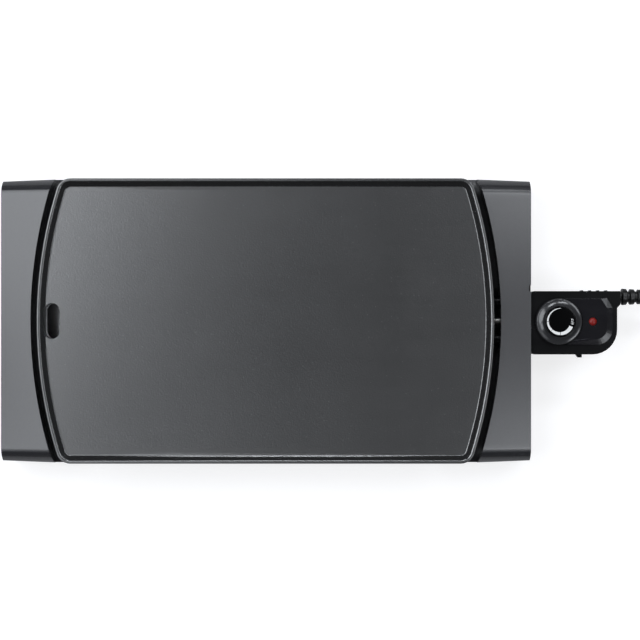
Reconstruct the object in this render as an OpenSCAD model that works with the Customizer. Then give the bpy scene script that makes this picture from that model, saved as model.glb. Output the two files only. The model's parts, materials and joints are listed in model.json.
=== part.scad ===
// Electric table griddle: a cast plate on two moulded handles, a drip tray on rails
// below it, and a plug-in temperature controller with its dial, probe and mains lead.
// +X points to the controller, +Y to the back, +Z up. The feet stand on z = 0.

/* [Cooking plate] */
// Length of the plate, over the curved ends
plate_l = 458; // [430:1:490]
// Width of the plate, front to back
plate_w = 285.6; // [270:0.2:310]
// Radius of the curved ends
side_r = 448; // [400:1:600]
// Radius of the plate's corners
corner_r = 14; // [8:1:24]
// Height of the cooking surface over the table
surface_z = 65; // [62:0.5:75]
// Thickness of the plate's floor
floor_t = 4.5; // [3.5:0.1:6]
// Height of the rim over the cooking surface
rim_h = 5; // [3:0.5:8]
// Width of the rim's crest
rim_w = 2.8; // [2:0.1:6]
// Width of the slope inside the rim
rim_slope = 5.2; // [2:0.1:8]

/* [Drain] */
// Width of the drain hole, along the plate
drain_w = 16; // [10:1:20]
// Length of the drain hole, across the plate
drain_l = 36; // [24:1:50]
// Distance from the plate's end to the middle of the drain hole
drain_inset = 14.4; // [13:0.1:24]
// Wall of the spout under the hole
spout_wall = 2; // [1.5:0.1:3]
// Length of the spout under the plate
spout_drop = 16; // [8:1:20]

/* [Heating element] */
// Diameter of the heating tube
element_d = 8; // [6:0.5:9]
// Distance from the plate's ends to the heating loop
loop_end_in = 64; // [60:1:76]
// Distance of the element's side runs from the line of the rails' screws
loop_rail_gap = 19; // [12:0.5:24]
// Radius of the heating loop's bends
bend_r = 22; // [18:1:30]
// Width of the cast rib that holds the heating tube
rib_w = 14; // [12:0.5:18]
// Distance between the two terminal pins
pin_gap = 38; // [34:1:42]
// Diameter of a terminal pin
pin_d = 6; // [4:0.5:7]
// Height of the pins and of the probe over the table
pin_z = 39; // [38:0.5:40]

/* [Handles] */
// Gap between the plate and each handle
handle_gap = 8; // [4:0.5:10]
// Distance from the plate's end to the handle's outer face
handle_reach = 38.8; // [34:0.1:50]
// Wall thickness of the handles
handle_wall = 3; // [2.4:0.1:4]
// Drop of the handle's top, from its inner to its outer edge
handle_slope = 10; // [6:0.5:14]
// Drop from the plate's rim to the handle's highest edge
handle_low = 6; // [3:0.5:10]
// Length of each leg, front to back
leg_l = 53; // [44:1:60]
// Height of the finger arch under each handle
arch_z = 38; // [34:0.5:39]
// Width of the socket block of the right handle
socket_w = 72; // [66:1:84]
// Width of the tabs that carry the plate
tab_w = 24; // [18:1:30]
// Thickness of those tabs
tab_t = 3; // [2.5:0.1:4]
// Distance between the plate's front and back screws
screw_span = 190; // [185:1:196]
// Length of the spacer sleeves over the tabs
sleeve_h = 4; // [3:0.5:5]
// Radius of the rounded ends of the handles
end_r = 15; // [8:1:18]

/* [Feet] */
// Diameter of a rubber foot
foot_d = 18; // [12:1:24]
// Height of a rubber foot under the leg
foot_h = 4; // [2:0.5:6]

/* [Drip tray] */
// Length of the drip tray
tray_l = 104; // [90:1:110]
// Width of the drip tray's box
tray_w = 106; // [90:1:110]
// Depth of the drip tray
tray_h = 18; // [14:1:19]
// Wall thickness of the drip tray
tray_wall = 1.4; // [1:0.1:2]
// Thickness of the rails' steel
rail_t = 1.2; // [0.8:0.1:1.5]

/* [Controller] */
// Length of the controller's housing
case_l = 87.1; // [85:0.1:100]
// Width of the controller's housing
case_w = 64.2; // [62:0.1:70]
// Height of the controller's underside over the table
case_z = 16; // [12:1:18]
// Height of the controller's top over the table
case_top = 50; // [49:0.5:52]
// Wall thickness of the controller's housing
case_wall = 2.2; // [1.8:0.1:2.6]
// Radius of the housing's large front corner
case_r = 25; // [18:1:28]
// Thickness of the raised fascia
fascia_t = 2; // [1.5:0.1:3]
// Diameter of the probe tube
probe_d = 6.5; // [5:0.1:7]
// Length of the cast boss round the probe
probe_boss_l = 56; // [40:1:70]
// Diameter of the sleeves round the pins
sleeve_d = 13; // [12:0.5:14]

/* [Dial] */
// Diameter of the dial's skirt
dial_d = 47; // [42:0.5:50]
// Diameter of the dial's cap
cap_d = 32; // [28:0.5:34]
// Height of the dial over the housing
dial_h = 11.5; // [9:0.5:14]
// Diameter of the dial's shaft
shaft_d = 6; // [5:0.5:6]
// Diameter of the pilot lens
lens_d = 8; // [6:0.5:9]

/* [Cord] */
// Diameter of the mains lead
cord_d = 8; // [7:0.1:8.4]
// Length of the strain relief
boot_l = 36; // [24:1:50]
// Diameter of the strain relief at the housing
boot_d = 17; // [14:0.5:18]
// Diameter of the mains plug
plug_d = 37; // [35:0.5:39]

/* [Hidden] */

// Fits
$fn = 48;
eps = 0.01;
fit = 0.3;
slide_fit = 0.5;

// Plate outline: two side arcs of side_r and four corner arcs of corner_r
half_l = plate_l / 2;
half_w = plate_w / 2;
side_c = half_l - side_r;
corner_y = half_w - corner_r;
corner_x = side_c + sqrt(pow(side_r - corner_r, 2) - pow(corner_y, 2));
corner_a = asin(corner_y / (side_r - corner_r));
under_z = surface_z - floor_t;
rim_z = surface_z + rim_h;
drain_x = -half_l + drain_inset;

// Handle faces and levels
handle_end = half_l + handle_reach;
handle_half = half_w + 1.3;
handle_taper = 2.3;
handle_top = rim_z - handle_low;
handle_out_z = handle_top - handle_slope;
inner_r = side_r + handle_gap;
slope_run = handle_end - arc_x(inner_r, handle_half);
slope_a = atan(handle_slope / slope_run);
leg_y = handle_half - leg_l;
leg_floor = 3;
block_floor = 2.5;
wall_x = arc_x(inner_r, 0);

// Plate screws, tabs and feet
tab_z = arch_z + 1;
ledge_w = 12;
boss_z = tab_z + tab_t + sleeve_h;
boss_d = 16;
screw_x = half_l - 39;
screw_y = screw_span / 2;
screw_d = 4;
screw_head_d = 8;
screw_head_h = 2.6;
washer_d = 11;
washer_t = 1;
foot_stem_d = 6;
foot_x = handle_end - 22;
foot_y = handle_half - 19;

// Heating loop and terminals
tray_y = tray_w / 2;
rail_web_y = tray_y + 7;
rail_y = rail_web_y + 7;
loop_x = half_l - loop_end_in;
loop_y = rail_y + loop_rail_gap;
pin_y = pin_gap / 2;
element_z = under_z - 6;
lead_x = loop_x + bend_r + 3;
drop_r = 9;
drop = element_z - pin_z;
drop_a = acos(1 - drop / (2 * drop_r));
element_end = lead_x + 2 * drop_r * sin(drop_a) + 1;
pin_end = wall_x - 3;
bush_l = 6;
bush_d = 11;
bracket_x = element_end + 1;
bracket_t = 1.5;
bracket_top = pin_z + 11;
bracket_screw_x = bracket_x - 8;
bracket_screw_y = pin_y + 17;
probe_boss_end = bracket_x - 4;
probe_boss_x = probe_boss_end - probe_boss_l;
probe_bore_x = probe_boss_x + 10;
probe_tip = probe_bore_x + probe_d / 2 + 1;
small_screw_d = 3;
small_head_d = 6;
small_head_h = 1.8;

// Tray bay: rails, their bosses and the tray
tray_top = 30;
tray_x = -handle_end + 6;
flange_t = 1.5;
rail_x = [-half_l + 12, -half_l + 99];
rail_screw_x = [-half_l + 17, -half_l + 81];

// Controller: housing outline and levels
case_x = handle_end + 0.7;
case_end = case_x + case_l;
case_y = -case_w / 2 - 1.8;
case_back = case_y + case_w;
split_z = case_z + 14;
case_edge_r = 3.5;
grip_pitch = 8.3;
catch_x = case_x + 48.5;
catch_out = 3.6;
exit_x = case_end + 3.2;
cord_y = case_back - 5.6;
cord_z = split_z;
cord_start = 32;
clamp_l = 8;
clamp_t = 3;
clamp_x = case_end - 24;
clamp_y = cord_y - 13;
nose_y = pin_y + 7;
nose_z = [pin_z - 8, pin_z + 7];
nose_x = wall_x + 4.5;
tower_x = element_end + bush_l + 3;
contact_d = pin_d + 3;
griddle_x = (handle_end - exit_x) / 2;

// Dial and lamp
dial_x = case_x + 27.8;
dial_y = -0.6;
fascia_y = dial_d / 2 + 0.3;
fascia_end = case_end - 4.6;
fascia_slope = 6;
fascia_z = case_top + fascia_t;
lens_x = dial_x + 34.3;
knob_z = case_top + 0.4;
cap_z = case_top + dial_h - 1.5;
knob_r = cap_d / 2 + 0.8;

// Switch: levels of its frame, leaves and blocks
frame_x = case_x + 7.5;
frame_z = case_top - case_wall - 3.5;
frame_end = dial_x + 20;
frame_t = 1.5;
frame_drop = 15;
leaf_t = 0.6;
low_leaf_z = pin_z - 5;
high_leaf_z = low_leaf_z + leaf_t + 3;
block_x = frame_end - 9;
block_w = 8;
tag_x = block_x + block_w + 3;
rivet_d = 3;
rod_d = 3;
probe_wall = 0.8;

// Lead: its route from the controller, in steps chosen by hand, and its coil.
// x runs on from the housing, y to the back, and z is the height over the table.
cord_r = cord_d / 2;
route_out = [
    [-32, 0, 30], [-16, 0, 30], [0, 0, 30], [18, 0, 30], [36, 0, 30], [50, 0, 30], [60, 0, 30],
    [68, 0, 29], [76, 0.4, 26.5], [83.5, 0.9, 22.2], [89.5, 1.5, 16.5], [95.5, 1.9, 10.8],
    [103, 1.7, 6.6], [111, 0.7, 4.4], [118, 0.1, 4], [124, 0, 4]
];
coil_c = [124, -44];
coil_in = 36;
coil_out = 44;
route_tail = [
    [168, -44, 20], [168, -52, 19.6], [168, -60, 19], [168, -68, 18.5], [168, -77, 18.5]
];
plug_at = [168, -77, 18.5];

// ---- Outlines and helpers ----

function arc_x(r, y) = side_c + sqrt(r * r - y * y);

function arc(c, r, from, to, n) =
    [for (i = [0 : n]) let (a = from + (to - from) * i / n) [c[0] + r * cos(a), c[1] + r * sin(a)]];

// The plate's outline, set in by i
function plate_outline(i) = concat(
    arc([side_c, 0], side_r - i, -corner_a, corner_a, 24),
    arc([corner_x, corner_y], corner_r - i, corner_a, 90, 6),
    arc([-corner_x, corner_y], corner_r - i, 90, 180 - corner_a, 6),
    arc([-side_c, 0], side_r - i, 180 - corner_a, 180 + corner_a, 24),
    arc([-corner_x, -corner_y], corner_r - i, 180 + corner_a, 270, 6),
    arc([corner_x, -corner_y], corner_r - i, 270, 360 - corner_a, 6)
);

// A rectangle from low to high whose four corners have the radii r: south-west, then on round
function rounded(low, high, r, n = 6) = concat(
    arc([low[0] + r[0], low[1] + r[0]], r[0], 180, 270, n),
    arc([high[0] - r[1], low[1] + r[1]], r[1], 270, 360, n),
    arc([high[0] - r[2], high[1] - r[2]], r[2], 0, 90, n),
    arc([low[0] + r[3], high[1] - r[3]], r[3], 90, 180, n)
);

// The controller's outline, set in by i
function case_outline(i) = rounded(
    [case_x + i, case_y + i], [case_end - i, case_back - i],
    [case_edge_r - i, case_r - i, case_edge_r - i, case_edge_r - i], 8
);

function unit(v) = v / norm(v);

function path_tangent(p, i) = unit(p[min(i + 1, len(p) - 1)] - p[max(i - 1, 0)]);

// One ring of a tube at step i of the path p
function tube_ring(p, i, r, sides) =
    let (
        t = path_tangent(p, i),
        side = unit(cross(t, [0, 0, 1])),
        top = cross(side, t)
    )
    [for (k = [0 : sides - 1])
        let (a = 360 * (k + 0.5) / sides)
        p[i] + r * (cos(a) * side + sin(a) * top)];

module tube(p, r, sides = 10) {
    n = len(p);
    s = sides;
    polyhedron(
        points = [for (i = [0 : n - 1]) each tube_ring(p, i, r, s)],
        faces = concat(
            [[for (k = [0 : s - 1]) k]],
            [for (i = [0 : n - 2], k = [0 : s - 1])
                [i * s + k, (i + 1) * s + k, (i + 1) * s + (k + 1) % s, i * s + (k + 1) % s]],
            [[for (k = [0 : s - 1]) n * s - 1 - k]]
        ),
        convexity = 6
    );
}

// Everything is drawn about the plate's middle and moved so that the whole is centred
module placed() {
    translate([griddle_x, 0, 0]) children();
}

// A prism of an outline between two levels
module prism(outline, low, high) {
    translate([0, 0, low]) linear_extrude(high - low) polygon(outline);
}

// A round bar along z, x or y that starts at p
module bar(p, d, l) {
    translate(p) cylinder(d = d, h = l);
}

module bar_x(p, d, l) {
    translate(p) rotate([0, 90, 0]) cylinder(d = d, h = l);
}

module bar_y(p, d, l) {
    translate(p) rotate([-90, 0, 0]) cylinder(d = d, h = l);
}

module block(low, high) {
    translate(low) cube(high - low);
}

module both_sides() {
    children();
    mirror([0, 1, 0]) children();
}

module both_ends() {
    children();
    mirror([1, 0, 0]) children();
}

// A shape drawn in (y, z) and pushed along x from one place to another
module along_x(from, to) {
    translate([from, 0, 0]) rotate([90, 0, 90]) linear_extrude(to - from) children();
}

// The drain hole's outline, grown by g
module drain_slot(g, low, high) {
    run = drain_l / 2 - drain_w / 2;
    block([drain_x - drain_w / 2 - g, -run, low], [drain_x + drain_w / 2 + g, run, high]);
    both_sides() bar([drain_x, run, low], drain_w + 2 * g, high - low);
}

// ---- Heating loop: a section carried round half the loop, then mirrored ----

module loop_run(from, heading, l) {
    translate([from[0], from[1], element_z]) rotate([90, 0, heading + 90]) linear_extrude(l) children();
}

module loop_bend(c, from, to) {
    translate([c[0], c[1], element_z]) rotate([0, 0, from]) rotate_extrude(angle = to - from)
        translate([bend_r, 0]) children();
}

module loop_sweep() {
    in_x = loop_x - bend_r;
    in_y = loop_y - bend_r;
    both_sides() {
        loop_run([loop_x + bend_r, pin_y], 0, lead_x - loop_x - bend_r) children();
        loop_bend([loop_x + bend_r, pin_y + bend_r], 180, 270) children();
        loop_run([loop_x, pin_y + bend_r], 90, in_y - pin_y - bend_r) children();
        loop_bend([in_x, in_y], 0, 90) children();
        loop_run([in_x, loop_y], 180, 2 * in_x) children();
        loop_bend([-in_x, in_y], 90, 180) children();
        loop_run([-loop_x, in_y], 270, in_y) children();
    }
}

// ---- Griddle ----

module griddle_plate() {
    color("dimgray") placed() difference() {
        union() {
            prism(plate_outline(0), under_z, rim_z);
            loop_sweep() translate([-rib_w / 2, 0]) square([rib_w, under_z - element_z + 1]);
            both_ends() both_sides() bar([screw_x, screw_y, boss_z], boss_d, under_z - boss_z + 1);
            for (x = rail_screw_x) both_sides() bar([x, rail_y, boss_z], 12, under_z - boss_z + 1);
            both_sides() bar([bracket_screw_x, bracket_screw_y, bracket_top], 10, under_z - bracket_top + 1);
            block([probe_boss_x, -8, pin_z - 6], [probe_boss_end, 8, under_z + 1]);
            drain_slot(spout_wall, under_z - spout_drop, under_z + 1);
        }
        hull() {
            prism(plate_outline(rim_w + rim_slope), surface_z, surface_z + eps);
            prism(plate_outline(rim_w), rim_z, rim_z + eps);
        }
        loop_sweep() circle(d = element_d + 0.2);
        drain_slot(0, 0, rim_z);
        both_ends() both_sides() bar([screw_x, screw_y, 0], screw_d, under_z - 2);
        for (x = rail_screw_x) both_sides() bar([x, rail_y, 0], small_screw_d, under_z - 2);
        both_sides() bar([bracket_screw_x, bracket_screw_y, 0], small_screw_d, under_z - 1);
        bar_x([probe_bore_x, 0, pin_z], probe_d + 2 * fit, probe_boss_end);
    }
}

// The back half of the heating tube's line, from its terminal to the middle of the far end
function element_half() =
    let (
        low_c = [lead_x + 2 * drop_r * sin(drop_a), pin_z + drop_r],
        high_c = [lead_x, element_z - drop_r],
        fall = concat(arc(low_c, drop_r, 270, 270 - drop_a, 6),
            arc(high_c, drop_r, 90 - drop_a + 12, 90, 6)),
        flat = concat(
            arc([loop_x + bend_r, pin_y + bend_r], bend_r, 270, 180, 8),
            arc([loop_x - bend_r, loop_y - bend_r], bend_r, 0, 90, 8),
            arc([bend_r - loop_x, loop_y - bend_r], bend_r, 90, 180, 8)
        )
    )
    concat([[element_end, pin_y, pin_z]], [for (q = fall) [q[0], pin_y, q[1]]],
        [for (q = flat) [q[0], q[1], element_z]]);

module heating_element() {
    half = element_half();
    n = len(half);
    line = concat(half, [for (i = [n - 1 : -1 : 0]) [half[i][0], -half[i][1], half[i][2]]]);
    color("gray") placed() tube(line, element_d / 2, 16);
}

module terminal_pins() {
    color("silver") placed() both_sides() union() {
        bar_x([element_end, pin_y, pin_z], pin_d, pin_end - element_end - 2);
        translate([pin_end - 2, pin_y, pin_z]) rotate([0, 90, 0])
            cylinder(d1 = pin_d, d2 = pin_d - 2, h = 2);
    }
}

module ceramic_bushes() {
    color("ivory") placed() both_sides() difference() {
        bar_x([element_end, pin_y, pin_z], bush_d, bush_l);
        bar_x([element_end - 1, pin_y, pin_z], pin_d + 0.1, bush_l + 2);
    }
}

module terminal_bracket() {
    color("lightgray") placed() difference() {
        union() {
            block([bracket_x, -bracket_screw_y - 5, pin_z - 11],
                [bracket_x + bracket_t, bracket_screw_y + 5, bracket_top]);
            both_sides() block([bracket_screw_x - 5, pin_y + 10, bracket_top - bracket_t],
                [bracket_x + bracket_t, bracket_screw_y + 5, bracket_top]);
        }
        both_sides() bar_x([bracket_x - 1, pin_y, pin_z], bush_d + 0.2, bracket_t + 2);
        bar_x([bracket_x - 1, 0, pin_z], probe_d + 2, bracket_t + 2);
        both_sides() bar([bracket_screw_x, bracket_screw_y, 0], small_screw_d + fit, rim_z);
    }
}

// A pan-head screw driven upwards: its head's top face is at z
module screw_up(p, z, shank, head, head_h, l) {
    translate([p[0], p[1], 0]) difference() {
        union() {
            bar([0, 0, z - head_h], head, head_h);
            bar([0, 0, z - eps], shank, l);
        }
        block([-head / 3, -0.5, z - head_h - 1], [head / 3, 0.5, z - head_h + 0.9]);
        block([-0.5, -head / 3, z - head_h - 1], [0.5, head / 3, z - head_h + 0.9]);
    }
}

module bracket_screws() {
    color("silver") placed() both_sides()
        screw_up([bracket_screw_x, bracket_screw_y], bracket_top - bracket_t,
            small_screw_d - 0.1, small_head_d, small_head_h, 8);
}

module earth_contact() {
    web_x = bracket_x + bracket_t;
    leaf_y = probe_d / 2 + fit;
    color("goldenrod") placed() difference() {
        union() {
            block([web_x, -8, pin_z - 6], [web_x + 0.8, 8, pin_z + 6]);
            both_sides() block([web_x, leaf_y, pin_z - 3], [web_x + 9, leaf_y + leaf_t, pin_z + 3]);
        }
        bar_x([web_x - 1, 0, pin_z], probe_d + 2 * fit, 3);
    }
}

// ---- Handles ----

// The handle's outer form, set in by i: ends and top, sloped outwards, with rounded ends
module handle_form(i) {
    inner = half_l - 40;
    intersection() {
        difference() {
            prism([[inner, -handle_half + i], [handle_end - i, -handle_half + handle_taper + i],
                [handle_end - i, handle_half - handle_taper - i], [inner, handle_half - i]], 0, rim_z);
            translate([side_c, 0, -1]) cylinder(r = inner_r + i, h = rim_z + 2, $fn = 180);
        }
        translate([handle_end, 0, handle_out_z]) rotate([0, slope_a, 0]) along_x(-90, 20)
            polygon(rounded([-handle_half + i, -90], [handle_half - i, -i],
                [1, 1, end_r - i, end_r - i], 8));
    }
}

// What stands of the handle, seen along x, above the arch and down its two legs
module handle_side(low, leg_in, arch, block_half, block_low) {
    along_x(half_l - 60, handle_end + 20) {
        translate([-handle_half - 5, arch]) square([2 * handle_half + 10, rim_z]);
        for (s = [-1, 1])
            translate([s > 0 ? leg_in : -handle_half - 5, low]) square([handle_half + 5 - leg_in, rim_z - low]);
        if (block_half > 0)
            translate([-block_half, block_low]) square([2 * block_half, rim_z - block_low]);
    }
}

// The band of the handle that reaches in under the plate's edge, closing the gap from below
module ledge_band(reach, low, high) {
    difference() {
        intersection() {
            translate([side_c, 0, low]) cylinder(r = inner_r + handle_wall / 2, h = high - low, $fn = 180);
            block([half_l - 60, -handle_half, low], [handle_end, handle_half, high]);
        }
        translate([side_c, 0, low - 1]) cylinder(r = inner_r - reach, h = high - low + 2, $fn = 180);
    }
}

// One handle; a socket handle also has the block that the controller plugs into
module handle(socket) {
    block_half = socket ? socket_w / 2 : 0;
    block_low = pin_z - 13;
    difference() {
        union() {
            difference() {
                intersection() {
                    handle_form(0);
                    handle_side(foot_h, leg_y, arch_z, block_half, block_low);
                }
                intersection() {
                    handle_form(handle_wall);
                    handle_side(foot_h + leg_floor, leg_y + handle_wall, arch_z - 1,
                        block_half - handle_wall, block_low + block_floor);
                }
            }
            both_sides() intersection() {
                union() {
                    bar([screw_x, screw_y, tab_z], tab_w, tab_t);
                    block([screw_x, screw_y - tab_w / 2, tab_z],
                        [handle_end, screw_y + tab_w / 2, tab_z + tab_t]);
                }
                translate([side_c, 0, 0]) cylinder(r = inner_r + handle_wall / 2, h = rim_z, $fn = 180);
            }
            difference() {
                ledge_band(ledge_w, tab_z, tab_z + tab_t);
                if (socket) block([0, -block_half, 0], [handle_end, block_half, rim_z]);
            }
            if (socket) difference() {
                intersection() {
                    ledge_band(ledge_w, block_low, tab_z + tab_t);
                    block([0, -block_half - eps, 0], [handle_end, block_half + eps, rim_z]);
                }
                block([0, -block_half + handle_wall, block_low + block_floor],
                    [handle_end, block_half - handle_wall, rim_z]);
            }
        }
        both_sides() bar([screw_x, screw_y, 0], screw_d + 0.5, rim_z - 20);
        both_sides() bar([foot_x, foot_y, 0], foot_stem_d + 0.2, foot_h + leg_floor + 5);
        if (socket) {
            block([wall_x - 10, -nose_y - 1, nose_z[0] - 1], [handle_end + 1, nose_y + 1, nose_z[1] + 1]);
            block([handle_end - 2.2, 29.5, handle_out_z - 4], [handle_end + 1, 36, rim_z]);
        }
    }
}

module left_handle() {
    color("darkgray") placed() mirror([1, 0, 0]) handle(false);
}

module right_handle() {
    color("darkgray") placed() handle(true);
}

module spacer_sleeves() {
    color("silver") placed() both_ends() both_sides() difference() {
        bar([screw_x, screw_y, tab_z + tab_t], screw_d + 5, sleeve_h);
        bar([screw_x, screw_y, tab_z], screw_d + 0.5, sleeve_h + 9);
    }
}

module handle_washers() {
    color("silver") placed() both_ends() both_sides() difference() {
        bar([screw_x, screw_y, tab_z - washer_t], washer_d, washer_t);
        bar([screw_x, screw_y, tab_z - 9], screw_d + 0.5, 18);
    }
}

module handle_screws() {
    color("silver") placed() both_ends() both_sides()
        screw_up([screw_x, screw_y], tab_z - washer_t, screw_d - 0.1, screw_head_d, screw_head_h,
            under_z - 3 - tab_z + washer_t);
}

module rubber_feet() {
    color("black") placed() both_ends() both_sides() union() {
        bar([foot_x, foot_y, 0], foot_d, foot_h);
        bar([foot_x, foot_y, foot_h - eps], foot_stem_d, leg_floor + 1);
        bar([foot_x, foot_y, foot_h + leg_floor], foot_stem_d + 3, 2);
    }
}

// ---- Drip tray and its rails ----

module tray_rails() {
    color("lightgray") placed() both_sides() difference() {
        along_x(rail_x[0], rail_x[1]) polygon([
            [rail_web_y, boss_z], [rail_y + 7, boss_z], [rail_y + 7, boss_z - rail_t],
            [rail_web_y + rail_t, boss_z - rail_t],
            [rail_web_y + rail_t, tray_top - flange_t - fit - rail_t],
            [tray_y + slide_fit, tray_top - flange_t - fit - rail_t],
            [tray_y + slide_fit, tray_top - flange_t - fit], [rail_web_y, tray_top - flange_t - fit]
        ]);
        for (x = rail_screw_x) bar([x, rail_y, 0], small_screw_d + fit, rim_z);
    }
}

module rail_screws() {
    color("silver") placed() for (x = rail_screw_x) both_sides()
        screw_up([x, rail_y], boss_z - rail_t, small_screw_d - 0.1, small_head_d, small_head_h, 10);
}

module drip_tray() {
    low = [tray_x, -tray_y];
    high = [tray_x + tray_l, tray_y];
    w = tray_wall;
    flange_y = rail_web_y - slide_fit;
    r = 6;
    color("gainsboro") placed() difference() {
        union() {
            prism(rounded(low, high, [r, r, r, r]), tray_top - tray_h, tray_top);
            prism(rounded([tray_x, -flange_y], [tray_x + tray_l, flange_y], [2, 2, 2, 2], 3),
                tray_top - flange_t, tray_top);
            block([tray_x - 4, -16, tray_top - flange_t], [tray_x + 1, 16, tray_top]);
            block([tray_x - 4, -16, tray_top - 9], [tray_x - 4 + flange_t, 16, tray_top]);
        }
        prism(rounded([low[0] + w, low[1] + w], [high[0] - w, high[1] - w], [r - w, r - w, r - w, r - w]),
            tray_top - tray_h + w, tray_top + 1);
    }
}

// ---- Controller housing ----

// The block at the housing's back corner that the lead leaves through
module exit_block(low, high) {
    prism([[case_end - 12, cord_y - 8], [case_end - 0.5, cord_y - 12], [exit_x, cord_y - 8],
        [exit_x, case_back - 0.6], [exit_x - 0.6, case_back], [case_end - 12, case_back]], low, high);
}

module case_shell(low, high, floor_low) {
    w = case_wall;
    difference() {
        union() {
            difference() {
                prism(case_outline(0), low, high);
                prism(case_outline(w), floor_low ? low + w : low - 1, floor_low ? high + 1 : high - w);
            }
            intersection() {
                exit_block(low, high);
                union() {
                    prism(case_outline(0), low, high);
                    block([case_end - 8, case_y, low], [exit_x + 1, case_back, high]);
                }
            }
        }
        bar_x([clamp_x - 6, cord_y, cord_z], cord_d + 0.6, exit_x - clamp_x + 10);
    }
}

// Places of the housing's screws
function case_screws() = [
    [case_x + 17.5, case_y + 7], [case_x + 17.5, case_back - 6.5],
    [case_end - 36, case_y + 7], [case_end - 7, case_y + 36]
];

module controller_base() {
    color([0.11, 0.11, 0.12]) placed() difference() {
        union() {
            case_shell(case_z, split_z, true);
            for (p = case_screws()) bar([p[0], p[1], case_z], 7, split_z - case_z);
            block([frame_x, -5, case_z + 1], [frame_x + 3, 5, frame_z - frame_drop]);
            for (i = [0 : 3])
                block([case_end - 33 + grip_pitch * i, case_back - 1, case_z + 4],
                    [case_end - 31 + grip_pitch * i, case_back + 1.2, split_z]);
            prism([[catch_x, case_y + 1], [catch_x, case_y], [catch_x + 2.6, case_y - catch_out],
                [catch_x + 6.4, case_y - catch_out], [catch_x + 6.4, case_y + 1]], case_z + 6, case_z + 13);
            bar([clamp_x + clamp_l / 2, clamp_y, case_z + 1], 7, cord_z - clamp_t - case_z - 1);
        }
        for (p = case_screws()) {
            bar([p[0], p[1], case_z - 1], small_screw_d + fit, split_z);
            bar([p[0], p[1], case_z - 1], small_head_d + 0.4, small_head_h + 2.4);
        }
        bar([clamp_x + clamp_l / 2, clamp_y, case_z + case_wall + 1], small_screw_d, split_z);
    }
}

module controller_cover() {
    color([0.11, 0.11, 0.12]) placed() difference() {
        union() {
            case_shell(split_z, case_top, false);
            for (p = case_screws()) bar([p[0], p[1], split_z], 7, case_top - split_z - 1);
        }
        for (p = case_screws()) bar([p[0], p[1], split_z - 1], small_screw_d, 13);
        bar([dial_x, dial_y, split_z], shaft_d + 3.2, case_top);
        bar([lens_x, dial_y, split_z], lens_d + 0.4, case_top);
        block([case_x - 1, -nose_y - 0.2, nose_z[0] - 0.2],
            [case_x + case_wall + 1, nose_y + 0.2, nose_z[1] + 0.2]);
    }
}

// The fascia's outline, set in by i: its end follows the housing's round and cut corners
function fascia_outline(i) = concat(
    [[dial_x, dial_y - fascia_y + i / 8]],
    arc([fascia_end - 17, dial_y - fascia_y + 17], 17 - i, 270, 360, 8),
    [[fascia_end - i, dial_y + fascia_y - 10], [fascia_end - 6 - i, dial_y + fascia_y - i / 8],
        [dial_x, dial_y + fascia_y - i / 8]]
);

module control_fascia() {
    color([0.16, 0.16, 0.18]) placed() difference() {
        hull() {
            prism(fascia_outline(0), case_top, case_top + 0.4);
            prism(fascia_outline(fascia_slope), fascia_z - 0.2, fascia_z);
        }
        bar([dial_x, dial_y, case_top - 1], dial_d + 1.2, fascia_t + 2);
        bar([lens_x, dial_y, case_top - 1], lens_d + 0.4, fascia_t + 2);
    }
}

// ---- Socket and probe ----

module socket_block() {
    flange_x = case_x + case_wall + 0.1;
    color([0.08, 0.08, 0.08]) placed() difference() {
        union() {
            block([nose_x, -nose_y, nose_z[0]], [flange_x + 1, nose_y, nose_z[1]]);
            block([flange_x, -nose_y - 0.8, nose_z[0] - 0.8], [flange_x + 2.5, nose_y + 0.8, nose_z[1] + 1]);
            both_sides() bar_x([tower_x, pin_y, pin_z], sleeve_d, nose_x - tower_x + 1);
        }
        both_sides() bar_x([tower_x - 1, pin_y, pin_z], contact_d + 0.2, flange_x - tower_x + 10);
        bar_x([nose_x - 1, 0, pin_z], probe_d + 0.1, 60);
    }
}

module socket_contacts() {
    start = tower_x + 1;
    end = case_x + 7;
    color("goldenrod") placed() both_sides() union() {
        difference() {
            bar_x([start, pin_y, pin_z], contact_d, end - start);
            bar_x([start - 1, pin_y, pin_z], pin_d + 2 * fit, pin_end - start + 4);
        }
        block([end - 1, pin_y - 2.5, pin_z - 0.5], [end + 5, pin_y + 2.5, pin_z + 0.5]);
    }
}

module probe_tube() {
    color("silver") placed() difference() {
        union() {
            translate([probe_tip, 0, pin_z]) sphere(d = probe_d);
            bar_x([probe_tip, 0, pin_z], probe_d, frame_x + frame_t - probe_tip);
            bar_x([frame_x + frame_t, 0, pin_z], probe_d + 0.9, 1);
        }
        bar_x([probe_tip, 0, pin_z], probe_d - 2 * probe_wall, case_end);
    }
}

module probe_rod() {
    color("gray") placed() bar_x([probe_tip, 0, pin_z], rod_d,
        frame_x + frame_t + 4 - probe_tip);
}

module earth_ring() {
    x = case_x + case_wall + 2.8;
    color("goldenrod") placed() difference() {
        union() {
            bar_x([x, 0, pin_z], probe_d + 5, 0.8);
            block([x, -2.5, pin_z - 12], [x + 0.8, 2.5, pin_z - 4]);
        }
        bar_x([x - 1, 0, pin_z], probe_d + 0.1, 3);
    }
}

// ---- Thermostat switch ----

module switch_frame() {
    color("lightgray") placed() difference() {
        union() {
            block([frame_x, -9, frame_z - frame_drop], [frame_x + frame_t, 9, frame_z]);
            block([frame_x, -9, frame_z - frame_t], [frame_end, 9, frame_z]);
        }
        bar_x([frame_x - 1, 0, pin_z], probe_d + 0.1, 4);
        bar([dial_x, dial_y, frame_z - 4], shaft_d + 3, 8);
        bar([block_x + block_w / 2, 0, frame_z - 4], rivet_d + 0.1, 8);
    }
}

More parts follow.
